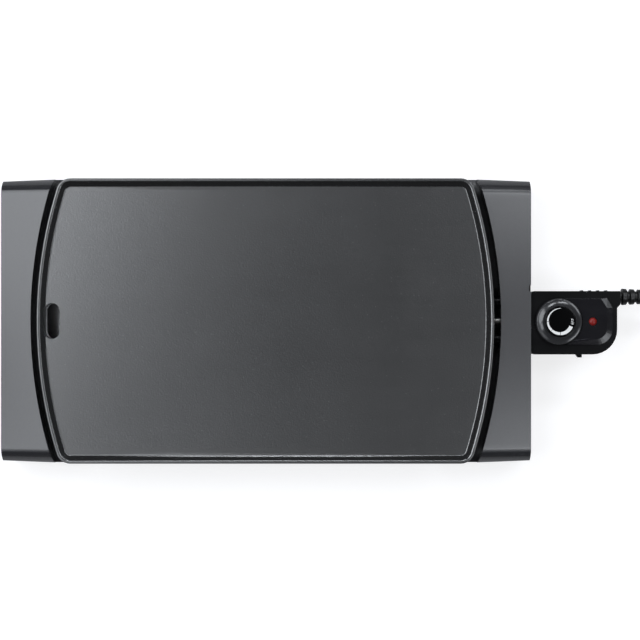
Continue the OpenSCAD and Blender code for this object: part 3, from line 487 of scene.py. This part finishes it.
def finish(name, look):
    # a Principled surface whose colour, gloss and relief come from the shared groups
    look = {**finishDefaults, **look}
    material = bpy.data.materials.new(name)
    material.use_nodes = True
    tree = material.node_tree
    shader = tree.nodes["Principled BSDF"]
    for label, key in (("Metallic", "metallic"), ("IOR", "ior"), ("Specular IOR Level", "specular"),
                       ("Anisotropic", "anisotropic"), ("Transmission Weight", "transmission")):
        shader.inputs[label].default_value = look[key]
    clouds = placeGroup(tree, smudgeGroup, Scale=look["cloudScale"], Low=0.0, High=1.0)
    colour = mixColour(tree, clouds.outputs["Value"], look["colour"], look["shade"])
    grain = placeGroup(tree, grainGroup, Scale=look["grainScale"])
    if "speck" in look:
        amount = mathNode(tree, "MULTIPLY", grain.outputs["Value"], look["speckAmount"])
        colour = mixColour(tree, amount, colour, look["speck"])
    if "fleck" in look:
        flecks = placeGroup(tree, fleckGroup, Scale=look["fleckScale"], Share=look["fleckShare"])
        colour = mixColour(tree, flecks.outputs["Mask"], colour, look["fleck"])
    # edges lightened: partly rubbed wear, partly a painted highlight along the bevels
    if "edgeWearAndHighlight" in look:
        edgeWearAndHighlight = placeGroup(tree, edgeWearAndHighlightGroup)
        amount = mathNode(tree, "MULTIPLY", edgeWearAndHighlight.outputs["Mask"], look["edgeWearAndHighlightAmount"])
        colour = mixColour(tree, amount, colour, look["edgeWearAndHighlight"])
    # a light streak painted inside the spout stands in for a highlight on its glossy wall
    if "spout" in look:
        colour = mixColour(tree, spoutMask(tree), colour, look["spout"])
    tree.links.new(colour, shader.inputs["Base Color"])
    height = grain.outputs["Height"]
    if isinstance(look["roughness"], tuple):
        low, high = look["roughness"]
        marks = placeGroup(tree, smudgeGroup, Scale=look["markScale"], Low=low, High=high)
        roughness = marks.outputs["Value"]
        if "slopeGloss" in look:
            spread = mathNode(tree, "SUBTRACT", roughness, look["slopeGloss"])
            roughness = mathNode(tree, "MULTIPLY_ADD", spread, levelMask(tree), look["slopeGloss"])
        if "lines" in look:
            drawn = placeGroup(tree, drawGroup, Scale=look["lines"])
            spread = mathNode(tree, "MULTIPLY_ADD", drawn.outputs["Value"], look["lineGloss"],
                              roughness)
            roughness = mathNode(tree, "SUBTRACT", spread, look["lineGloss"] / 2)
            height = drawn.outputs["Value"]
        tree.links.new(roughness, shader.inputs["Roughness"])
    else:
        shader.inputs["Roughness"].default_value = look["roughness"]
    bump = addNode(tree, "ShaderNodeBump", Strength=look["relief"], Distance=look["depth"])
    tree.links.new(height, bump.inputs["Height"])
    tree.links.new(bump.outputs["Normal"], shader.inputs["Normal"])
    return material


# One finish for each material slot, and for the dial's skirt the knob's black painted lighter, as
# sheen.
# Depths are in metres, scales count repeats to the metre, and roughness is one value or a range.
materials = {}
# an edge colour lightens edges: partly rubbed wear, partly painted highlight along the bevels
materials["nonstick_plate"] = finish("nonstickPlate", {
    "colour": (0.0076, 0.0078, 0.0083), "shade": (0.0068, 0.0070, 0.0075), "cloudScale": 5.0,
    "speck": (0.040, 0.040, 0.042), "speckAmount": 0.15, "grainScale": 600.0,
    "fleck": (0.085, 0.085, 0.090), "fleckScale": 620.0, "fleckShare": 0.05,
    # the spout's light colour is a painted highlight
    "spout": (0.55, 0.55, 0.56), "slopeGloss": 0.19,
    "roughness": (0.315, 0.335), "relief": 0.9, "depth": 0.00016, "specular": 1.0,
    "ior": 1.70})
materials["handle_grey"] = finish("handlePlastic", {
    "colour": (0.021, 0.021, 0.0235), "shade": (0.019, 0.019, 0.0215), "cloudScale": 5.0,
    "speck": (0.036, 0.036, 0.040), "speckAmount": 0.25, "grainScale": 900.0,
    "edgeWearAndHighlight": (0.12, 0.12, 0.13), "edgeWearAndHighlightAmount": 0.2,
    "roughness": 0.265, "relief": 0.30, "depth": 0.00003, "specular": 0.66})
materials["case_black"] = finish("casePlastic", {
    "colour": (0.0030, 0.0030, 0.0034), "shade": (0.0024, 0.0024, 0.0028),
    "speck": (0.008, 0.008, 0.009), "speckAmount": 0.3, "grainScale": 2100.0,
    "edgeWearAndHighlight": (0.05, 0.05, 0.055), "edgeWearAndHighlightAmount": 0.35,
    "roughness": (0.22, 0.29), "relief": 0.2, "depth": 0.00004, "specular": 0.26})
materials["fascia_grey"] = finish("fasciaPlastic", {
    "colour": (0.0042, 0.0038, 0.0056), "shade": (0.0034, 0.0031, 0.0046),
    "speck": (0.010, 0.010, 0.012), "speckAmount": 0.3, "grainScale": 2300.0,
    "edgeWearAndHighlight": (0.10, 0.10, 0.11), "edgeWearAndHighlightAmount": 0.6,
    "roughness": (0.18, 0.25), "relief": 0.15, "depth": 0.00004, "specular": 0.48})
materials["knob_black"] = finish("knobGloss", {
    "colour": (0.0022, 0.0022, 0.0024), "shade": (0.0018, 0.0018, 0.002), "grainScale": 1400.0,
    "edgeWearAndHighlight": (0.03, 0.03, 0.032), "edgeWearAndHighlightAmount": 0.25,
    "roughness": (0.10, 0.16), "relief": 0.04, "depth": 0.00003, "specular": 0.25})
# the skirt: the knob's black painted lighter, as painted sheen from the light it catches
materials["knob_skirt_painted_lighter"] = finish("knobSkirtPaintedLighter", {
    "colour": (0.030, 0.030, 0.032), "shade": (0.024, 0.024, 0.026), "grainScale": 1400.0,
    "edgeWearAndHighlight": (0.12, 0.12, 0.125), "edgeWearAndHighlightAmount": 0.3,
    "roughness": (0.15, 0.21), "relief": 0.05, "depth": 0.00003, "specular": 0.6})
materials["print_white"] = finish("whitePrint", {
    "colour": (0.78, 0.78, 0.77), "shade": (0.70, 0.70, 0.69), "grainScale": 2600.0,
    "speck": (0.6, 0.6, 0.6), "speckAmount": 0.3,
    "roughness": (0.45, 0.55), "relief": 0.1, "depth": 0.00003})
materials["print_grey"] = finish("greyPrint", {
    "colour": (0.30, 0.30, 0.30), "shade": (0.24, 0.24, 0.24), "grainScale": 2600.0,
    "speck": (0.2, 0.2, 0.2), "speckAmount": 0.3,
    "roughness": (0.45, 0.55), "relief": 0.1, "depth": 0.00003})
materials["lens_red"] = finish("redLens", {
    "colour": (0.30, 0.016, 0.012), "shade": (0.20, 0.010, 0.008), "grainScale": 900.0,
    "roughness": (0.34, 0.42), "relief": 0.15, "depth": 0.00005, "specular": 0.3,
    "transmission": 0.2})
materials["lamp_glass"] = finish("lampGlass", {
    "colour": (0.85, 0.62, 0.45), "shade": (0.8, 0.55, 0.4), "grainScale": 700.0,
    "roughness": (0.05, 0.1), "relief": 0.03, "transmission": 0.9})
materials["foot_rubber"] = finish("footRubber", {
    "colour": (0.020, 0.020, 0.020), "shade": (0.028, 0.027, 0.026), "grainScale": 1100.0,
    "speck": (0.05, 0.05, 0.048), "speckAmount": 0.35,
    "roughness": (0.65, 0.85), "relief": 0.4, "depth": 0.00008, "specular": 0.3})
materials["cord_rubber"] = finish("leadSheath", {
    "colour": (0.0060, 0.0060, 0.0062), "shade": (0.0080, 0.0080, 0.0082), "grainScale": 1300.0,
    "speck": (0.016, 0.016, 0.016), "speckAmount": 0.25,
    "roughness": (0.30, 0.42), "relief": 0.25, "depth": 0.00006, "specular": 0.35})
materials["pin_steel"] = finish("pinSteel", {
    "colour": (0.72, 0.71, 0.69), "shade": (0.60, 0.59, 0.57), "grainScale": 1500.0,
    "lines": 90.0, "roughness": (0.34, 0.44), "relief": 0.1, "depth": 0.00004,
    "metallic": 1.0, "anisotropic": 0.3})
materials["zinc_steel"] = finish("zincSteel", {
    "colour": (0.60, 0.61, 0.62), "shade": (0.46, 0.47, 0.47), "grainScale": 800.0,
    "cloudScale": 90.0,
    "speck": (0.38, 0.39, 0.40), "speckAmount": 0.3,
    "roughness": (0.30, 0.46), "relief": 0.12, "depth": 0.00005, "metallic": 1.0})
materials["element_steel"] = finish("elementSteel", {
    "colour": (0.27, 0.24, 0.21), "shade": (0.13, 0.11, 0.10), "grainScale": 700.0,
    "cloudScale": 30.0,
    "speck": (0.34, 0.28, 0.22), "speckAmount": 0.35,
    "roughness": (0.42, 0.62), "relief": 0.25, "depth": 0.00008, "metallic": 0.9})
materials["spring_brass"] = finish("springBrass", {
    "colour": (0.66, 0.47, 0.20), "shade": (0.50, 0.35, 0.15), "grainScale": 1200.0,
    "lines": 80.0, "roughness": (0.25, 0.38), "relief": 0.1, "depth": 0.00004,
    "metallic": 1.0})
materials["tray_steel"] = finish("trayAluminium", {
    "colour": (0.70, 0.70, 0.71), "shade": (0.58, 0.58, 0.59), "grainScale": 900.0,
    "lines": 45.0, "roughness": (0.32, 0.44), "relief": 0.12, "depth": 0.00005,
    "metallic": 1.0, "anisotropic": 0.4})
materials["ceramic"] = finish("ceramic", {
    "colour": (0.74, 0.70, 0.62), "shade": (0.62, 0.58, 0.50), "grainScale": 1000.0,
    "speck": (0.5, 0.46, 0.4), "speckAmount": 0.3,
    "roughness": (0.6, 0.75), "relief": 0.3, "depth": 0.00007})
materials["wire_sleeve"] = finish("wireSleeve", {
    "colour": (0.30, 0.10, 0.04), "shade": (0.24, 0.08, 0.035), "grainScale": 1500.0,
    "roughness": (0.4, 0.5), "relief": 0.1})
print("finishes made:", len(materials))


def setFinish(piece, slotName):
    piece.data.materials.clear()
    piece.data.materials.append(materials[slotName])


# The plate: width and segments of its rounded edges, and where its crest and drain hole are
plateSettings = {"edge": (0.0006, 2), "crest": (0.0013, 3), "drain": (0.0007, 4),
                 "sharpAngle": 18, "surface": 0.065, "near": 0.0003, "crestDepth": 0.0004,
                 "drainReach": 0.036, "drainHalf": 0.024}


def makePlate():
    d = plateSettings
    low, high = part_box("griddle_plate")

    def onCrest(a, b):
        return min(a.z, b.z) > high[2] - d["crestDepth"]

    def onDrain(a, b):
        return (abs(a.z - d["surface"]) < d["near"] and abs(b.z - d["surface"]) < d["near"]
                and max(a.x, b.x) < low[0] + d["drainReach"]
                and max(abs(a.y), abs(b.y)) < d["drainHalf"])

    return softened("griddle_plate", *d["edge"], d["sharpAngle"],
                    [(onDrain, *d["drain"]), (onCrest, *d["crest"])])


# The hollow at the foot of the rim: tight at the plate's ends, wide along its sides
filletSettings = {"slope": 43.9, "wide": 0.0032, "tight": 0.0008, "widens": (-0.225, -0.120),
                  "narrows": (0.02, 0.16), "drainHalf": 0.0215, "taper": 0.012, "tip": 0.0008,
                  "steps": 8, "sweepStep": 0.004, "lift": 0.00001, "sink": 0.0002,
                  "flatFace": 0.99, "slopeFace": (0.4, 0.95), "smoothAngle": 20}


def footLine():
    # where the rim's slope meets the cooking surface, from one side of the drain to the other
    d = filletSettings
    bm = cleanCopy("griddle_plate")
    surface, near = plateSettings["surface"], plateSettings["near"]
    links = {}
    for edge in bm.edges:
        if len(edge.link_faces) != 2 or any(abs(v.co.z - surface) > near for v in edge.verts):
            continue
        steep, flat = sorted(abs(face.normal.z) for face in edge.link_faces)
        if flat > d["flatFace"] and d["slopeFace"][0] < steep < d["slopeFace"][1]:
            for here, there in (edge.verts, reversed(edge.verts)):
                links.setdefault(here, []).append(there)
    ends = [v for v in links if len(links[v]) == 1]
    here = min(ends or links, key=lambda v: v.co.y)
    line, seen = [], set()
    while here is not None:
        seen.add(here)
        line.append(Vector((here.co.x, here.co.y)))
        here = next((v for v in links[here] if v not in seen), None)
    bm.free()
    # short enough pieces for an even sweep
    fine = [line[0]]
    for point in line[1:]:
        start = fine[-1].copy()
        parts = max(1, math.ceil((point - start).length / d["sweepStep"]))
        fine += [start.lerp(point, k / parts) for k in range(1, parts + 1)]
    return [p for p in fine if p.x > 0 or abs(p.y) > d["drainHalf"]]


def makeFootFillet():
    # a thin piece swept along the foot of the rim, ending on both sides of the drain
    d = filletSettings
    surface = plateSettings["surface"]
    line = footLine()
    along = [0.0]
    for first, second in zip(line, line[1:]):
        along.append(along[-1] + (second - first).length)
    middle = Vector((sum(p.x for p in line), sum(p.y for p in line))) / len(line)
    slope = math.radians(d["slope"])
    bm = bmesh.new()
    rings = []
    for index, point in enumerate(line):
        before, after = line[max(index - 1, 0)], line[min(index + 1, len(line) - 1)]
        tangent = (after - before).normalized()
        inward = Vector((-tangent.y, tangent.x))
        if inward.dot(middle - point) < 0:
            inward = -inward
        share = min(1.0, (min(along[index], along[-1] - along[index]) + d["tip"]) / d["taper"])
        wide = smoothShare(point.x, d["widens"]) * (1 - smoothShare(point.x, d["narrows"]))
        reach = share * (d["tight"] + wide * (d["wide"] - d["tight"]))
        radius = reach / math.tan(slope / 2)
        ring = []
        for step in range(d["steps"] + 1):
            angle = slope * step / d["steps"]
            place = point + inward * (reach - radius * math.sin(angle))
            height = surface + d["lift"] + radius * (1 - math.cos(angle))
            ring.append(bm.verts.new((place.x, place.y, height)))
        ring.append(bm.verts.new((point.x, point.y, surface - d["sink"])))
        rings.append(ring)
    for first, second in zip(rings, rings[1:]):
        for k in range(len(first)):
            n = (k + 1) % len(first)
            bm.faces.new((first[k], second[k], second[n], first[n]))
    bm.faces.new(rings[0])
    bm.faces.new(rings[-1][::-1])
    bmesh.ops.recalc_face_normals(bm, faces=bm.faces)
    return newPiece("rim_fillet", bm, bodyOf["griddle_plate"], slotOf["griddle_plate"],
                    smoothAngle=d["smoothAngle"])


# The handles: where their tops start to fall, measured from the middle, and on what radius
handleSettings = {"edge": (0.0007, 2), "sharpAngle": 30, "start": 0.1265, "end": 0.1425,
                  "cuts": 8, "radius": 0.036, "above": 0.036,
                  "flatCuts": (0.02, 0.045, 0.07, 0.095, 0.115, 0.123)}


def dropEnds(bm):
    # the top is cut across, and falls away softly towards both ends
    d = handleSettings
    places = list(d["flatCuts"]) + [d["start"] + cut * (d["end"] - d["start"]) / d["cuts"]
                                    for cut in range(d["cuts"] + 1)]
    for side in (1, -1):
        for at in places:
            bmesh.ops.bisect_plane(bm, geom=bm.verts[:] + bm.edges[:] + bm.faces[:],
                                   dist=meshSettings["tiny"], plane_co=(0, side * at, 0),
                                   plane_no=(0, side, 0))
    for vert in bm.verts:
        reach = abs(vert.co.y) - d["start"]
        if reach > 0 and vert.co.z > d["above"]:
            vert.co.z -= reach * reach / (2 * d["radius"])


def makeHandles():
    d = handleSettings
    return [softened(node, *d["edge"], d["sharpAngle"], shape=dropEnds)
            for node in ("left_handle", "right_handle")]


# The dial: radii from its axis and heights over the table
dialSettings = {"middle": (0.2508, -0.0006), "low": 0.0504, "radius": 0.0235, "edge": 0.0216,
                "shoulder": 0.0551, "lipDrop": 0.0025, "footEdge": 0.0006, "bore": 0.00303,
                "roof": 0.001, "collar": 0.0168, "collarEdge": 0.0004,
                "collarFoot": [(0.0006, 0.0570), (0.0001, 0.0574), (0.0, 0.0580)],
                "cap": 0.016, "capLow": 0.060, "capEdge": 0.0009, "top": 0.0615,
                "skirtSides": 160, "capSides": 128, "smoothAngle": 28}


def makeDial():
    d = dialSettings
    middle = (*d["middle"], 0)
    lip = [(d["edge"] + (d["radius"] - d["edge"]) * math.sin(math.radians(a)),
            d["shoulder"] - d["lipDrop"] * (1 - math.cos(math.radians(a))))
           for a in range(0, 91, 10)]
    inside = [(0, d["capLow"] - d["roof"]), (d["bore"], d["capLow"] - d["roof"]),
              (d["bore"], d["low"]), (d["radius"] - d["footEdge"], d["low"]),
              (d["radius"], d["low"] + d["footEdge"])]
    collar = [(d["collar"] + out, height) for out, height in d["collarFoot"]]
    collar += [(d["collar"], d["capLow"] - d["collarEdge"]),
               (d["collar"] - d["collarEdge"], d["capLow"]), (0, d["capLow"])]
    skirt = lathe(inside + lip[::-1] + collar, middle, d["skirtSides"])
    knob = newPiece("dial_skirt", skirt, "dial", slotOf["dial_knob"], ["dial_knob"],
                    smoothAngle=d["smoothAngle"])
    rim = arcPoints((d["cap"] - d["capEdge"], d["top"] - d["capEdge"]), d["capEdge"], 0, 90, 6)
    disc = lathe([(0, d["capLow"]), (d["cap"], d["capLow"])] + rim + [(0, d["top"])], middle,
                 d["capSides"])
    cap = newPiece("dial_cap_disc", disc, "dial", slotOf["dial_cap"], ["dial_cap"],
                   smoothAngle=d["smoothAngle"])
    return knob, cap


def addBar(bm, middle, along, across, low, high):
    # a thin flat bar: middle and half sizes, in the plane of the dial's face
    corners = [(middle[0] + i * along[0] + j * across[0], middle[1] + i * along[1] + j * across[1])
               for i, j in ((-1, -1), (1, -1), (1, 1), (-1, 1))]
    bottom = [bm.verts.new((x, y, low)) for x, y in corners]
    top = [bm.verts.new((x, y, high)) for x, y in corners]
    bm.faces.new(top)
    bm.faces.new(bottom[::-1])
    for k in range(4):
        n = (k + 1) % 4
        bm.faces.new((bottom[k], bottom[n], top[n], top[k]))


# Short dark marks across the white scale: their angles, and their reach from the dial's axis
tickSettings = {"angles": (180, 225, 270), "reach": (0.0096, 0.0137), "halfWidth": 0.00022,
                "height": 0.00019}


def makeTicks():
    d = tickSettings
    centre, top = dialSettings["middle"], dialSettings["top"]
    bm = bmesh.new()
    inner, outer = d["reach"]
    half = (outer - inner) / 2
    for angle in d["angles"]:
        a = math.radians(angle)
        along = (math.cos(a), math.sin(a))
        middle = [centre[k] + along[k] * (inner + outer) / 2 for k in range(2)]
        addBar(bm, middle, (along[0] * half, along[1] * half),
               (-along[1] * d["halfWidth"], along[0] * d["halfWidth"]), top, top + d["height"])
    return newPiece("dial_scale_ticks", bm, "dial", slotOf["dial_knob"])


# The letters of the dial's resting place, each stroke from one end to the other in a unit box
offSettings = {"word": "OFF", "wide": 0.0012, "tall": 0.0021, "step": 0.0021, "halfStroke": 0.00028,
               "out": 0.0121, "height": 0.00015,
               "strokes": {"O": [(0, 0, 0, 1), (1, 0, 1, 1), (0, 0, 1, 0), (0, 1, 1, 1)],
                           "F": [(0, 0, 0, 1), (0, 1, 1, 1), (0, 0.52, 0.8, 0.52)]}}


def makeOffWord():
    # turned to read up the dial
    d = offSettings
    centre, top, half = dialSettings["middle"], dialSettings["top"], d["halfStroke"]
    bm = bmesh.new()
    for place, letter in enumerate(d["word"]):
        for x0, y0, x1, y1 in d["strokes"][letter]:
            ends = []
            for x, y in ((x0, y0), (x1, y1)):
                u = (place - 1) * d["step"] + (x - 0.5) * d["wide"]
                v = (y - 0.5) * d["tall"]
                ends.append((centre[0] + d["out"] - v, centre[1] + u))
            middle = [(ends[0][k] + ends[1][k]) / 2 for k in range(2)]
            reach = [(ends[1][k] - ends[0][k]) / 2 for k in range(2)]
            size = math.hypot(*reach)
            unit = [value / size for value in reach]
            addBar(bm, middle, [value + u * half for value, u in zip(reach, unit)],
                   (-unit[1] * half, unit[0] * half), top, top + d["height"])
    return newPiece("dial_off_word", bm, "dial", slotOf["dial_off_mark"], ["dial_off_mark"])


# The strain relief: lengths from the controller's wall, and radii from the lead's middle
bootSettings = {"ribs": 4, "first": 0.0049, "pitch": 0.0079, "ribWidth": 0.0051, "length": 0.036,
                "wide": 0.0088, "narrow": 0.00675, "core": 0.0056, "bore": 0.0043,
                "softEdge": 0.0007, "grooveSlope": 0.0003, "sides": 64, "smoothAngle": 40}


def makeBoot():
    d = bootSettings
    soft, groove = d["softEdge"], d["grooveSlope"]

    def outer(x):
        return d["wide"] + (d["narrow"] - d["wide"]) * x / d["length"]

    profile = [(d["bore"], 0.0), (d["core"], 0.0)]
    for rib in range(d["ribs"]):
        start = d["first"] + d["pitch"] * rib
        end = min(start + d["ribWidth"], d["length"])
        profile += [(d["core"], start - groove), (outer(start) - soft, start),
                    (outer(start), start + soft), (outer(end), end - soft),
                    (outer(end) - soft, end), (d["core"], end + groove)]
    profile += [(d["core"], d["length"]), (d["bore"], d["length"])]
    ribs = lathe(profile, leadSettings["exit"], d["sides"], "X")
    return newPiece("boot_ribs", ribs, bodyOf["strain_relief"], slotOf["strain_relief"],
                    ["strain_relief"], smoothAngle=d["smoothAngle"])


plateShell = makePlate()
rimFillet = makeFootFillet()
dialSkirt, dialCapDisc = makeDial()
dialTicks = makeTicks()
offWord = makeOffWord()
bootRibs = makeBoot()
handleShells = makeHandles()
print("plate, dial, strain relief and handles made")


# The other nodes keep their own mesh, and modifiers round their edges
nodeSettings = {
    "edge": 0.0004,  # no wider than this, or than this share of the node's smallest side
    "edgeShare": 0.08,
    "sharpAngle": 35,
    "wideEdge": 0.001,  # from here up, an edge gets four segments and not two
    "ownEdges": {"controller_cover": 0.0030, "controller_base": 0.0012, "control_fascia": 0.0012,
                 "drip_tray": 0.0003, "tray_rails": 0.0003, "rubber_feet": 0.0008,
                 "cord_tie": 0.0004, "socket_block": 0.0006, "plug_body": 0.0008},
    "replaced": {"griddle_plate", "left_handle", "right_handle", "power_cord", "cord_coil",
                 "dial_knob", "dial_cap", "dial_off_mark", "strain_relief"},
}


def dressNode(node):
    d = nodeSettings
    piece = frame["nodes"][node]
    weld = piece.modifiers.new("weld", "WELD")
    weld.merge_threshold = meshSettings["weld"]
    flat = piece.modifiers.new("flat", "DECIMATE")
    flat.decimate_type = "DISSOLVE"
    flat.angle_limit = math.radians(meshSettings["flatAngle"])
    smallest = min(high - low for low, high in zip(*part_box(node)))
    edge = piece.modifiers.new("edges", "BEVEL")
    edge.width = d["ownEdges"].get(node, min(d["edge"], d["edgeShare"] * smallest))
    edge.segments = 4 if edge.width > d["wideEdge"] else 2
    edge.limit_method = "ANGLE"
    edge.angle_limit = math.radians(d["sharpAngle"])
    even = piece.modifiers.new("even", "WEIGHTED_NORMAL")
    even.keep_sharp = True
    setFinish(piece, slotOf[node])


for node in frame["nodes"]:
    if node not in nodeSettings["replaced"]:
        dressNode(node)
setFinish(leadPiece, "cord_rubber")
setFinish(bootRibs, "cord_rubber")
setFinish(dialSkirt, "knob_skirt_painted_lighter")
setFinish(dialCapDisc, "knob_black")
setFinish(dialTicks, "knob_black")
setFinish(offWord, "print_white")
setFinish(plateShell, "nonstick_plate")
setFinish(rimFillet, "nonstick_plate")
for shell in handleShells:
    setFinish(shell, "handle_grey")

print("nodes dressed")


# The floor: metres, colour, and how strongly it glows near the object and far off
floorSettings = {"size": 48.0, "colour": (0.42, 0.42, 0.43), "roughness": 0.9, "glow": 0.72,
                 "farGlow": 1.0, "glowSpan": (0.55, 1.8), "glossShare": 0.2}
skySettings = {"horizon": (0.0, 0.045), "zenith": (0.75, 0.03)}  # height and grey
lampSettings = {
    "tint": (0.92, 0.955, 1.0),
    # place, aimed at, size across, size along, power
    "lamps": {
        "leftSoftbox": ((-1.10, 0.50, 1.60), (0.0, 0.0, 0.05), 1.2, 1.2, 23.2),
        "leftFrontBox": ((-1.12, -0.47, 1.45), (-0.2, 0.0, 0.05), 0.65, 0.65, 5.9),
        "rightBackBox": ((1.04, 0.50, 1.42), (0.29, 0.0, 0.05), 0.58, 0.58, 6.2),
        "rightFrontBox": ((1.04, -0.50, 1.42), (0.29, 0.0, 0.05), 0.58, 0.58, 6.0),
        "frontFill": ((-0.24, -0.62, 1.50), (0.0, 0.0, 0.05), 0.5, 0.5, 1.1),
        "backLeftStrip": ((-0.06, 1.10, 1.06), (0.15, 0.0, 0.05), 0.50, 0.22, 4.0),
        "backRightStrip": ((0.66, 1.10, 1.06), (0.15, 0.0, 0.05), 0.50, 0.22, 4.0),
    },
}


def makeFloor():
    d = floorSettings
    half = d["size"] / 2
    bm = bmesh.new()
    bm.faces.new([bm.verts.new((x * half, y * half, 0.0))
                  for x, y in ((-1, -1), (1, -1), (1, 1), (-1, 1))])
    mesh = bpy.data.meshes.new("floor")
    bm.to_mesh(mesh)
    bm.free()
    floor = bpy.data.objects.new("floor", mesh)
    bpy.context.scene.collection.objects.link(floor)
    material = bpy.data.materials.new("floorPaper")
    material.use_nodes = True
    tree = material.node_tree
    shader = tree.nodes["Principled BSDF"]
    shader.inputs["Base Color"].default_value = (*d["colour"], 1.0)
    shader.inputs["Roughness"].default_value = d["roughness"]
    floor.data.materials.append(material)
    # it glows to the eye, through glass and, fainter, in gloss, but not onto the object;
    # the lamps make up the rest of its white, so that the shadow stays
    seen = tree.nodes.new("ShaderNodeLightPath")
    gloss = mathNode(tree, "MULTIPLY", seen.outputs["Is Glossy Ray"], d["glossShare"])
    direct = mathNode(tree, "MAXIMUM", seen.outputs["Is Camera Ray"], gloss)
    white = mathNode(tree, "MAXIMUM", direct, seen.outputs["Is Transmission Ray"])
    place = tree.nodes.new("ShaderNodeTexCoord")
    away = tree.nodes.new("ShaderNodeVectorMath")
    away.operation = "LENGTH"
    tree.links.new(place.outputs["Object"], away.inputs[0])
    glow = rangeNode(tree, away.outputs["Value"], *d["glowSpan"], d["glow"], d["farGlow"])
    tree.links.new(mathNode(tree, "MULTIPLY", white, glow), shader.inputs["Emission Strength"])
    shader.inputs["Emission Color"].default_value = (1.0, 1.0, 1.0, 1.0)


def makeWorld():
    world = bpy.data.worlds.new("studio")
    bpy.context.scene.world = world
    world.use_nodes = True
    tree = world.node_tree
    ramp = tree.nodes.new("ShaderNodeValToRGB")
    tree.links.new(splitCoordinate(tree, "Generated")["Z"], ramp.inputs["Fac"])
    for stop, (height, grey) in zip(ramp.color_ramp.elements, skySettings.values()):
        stop.position = height
        stop.color = (grey, grey, grey, 1.0)
    tree.links.new(ramp.outputs["Color"], tree.nodes["Background"].inputs["Color"])


def makeLamp(name, place, target, across, along, power):
    # a flat soft lamp that faces its target
    data = bpy.data.lights.new(name, "AREA")
    data.shape = "RECTANGLE"
    data.size = across
    data.size_y = along
    data.energy = power
    data.color = lampSettings["tint"]
    lamp = bpy.data.objects.new(name, data)
    lamp.location = place
    lamp.rotation_euler = (Vector(target) - Vector(place)).to_track_quat("-Z", "Y").to_euler()
    bpy.context.scene.collection.objects.link(lamp)


makeFloor()
makeWorld()
for name, values in lampSettings["lamps"].items():
    makeLamp(name, *values)
bpy.context.scene.view_settings.view_transform = "Standard"
print("stage made")
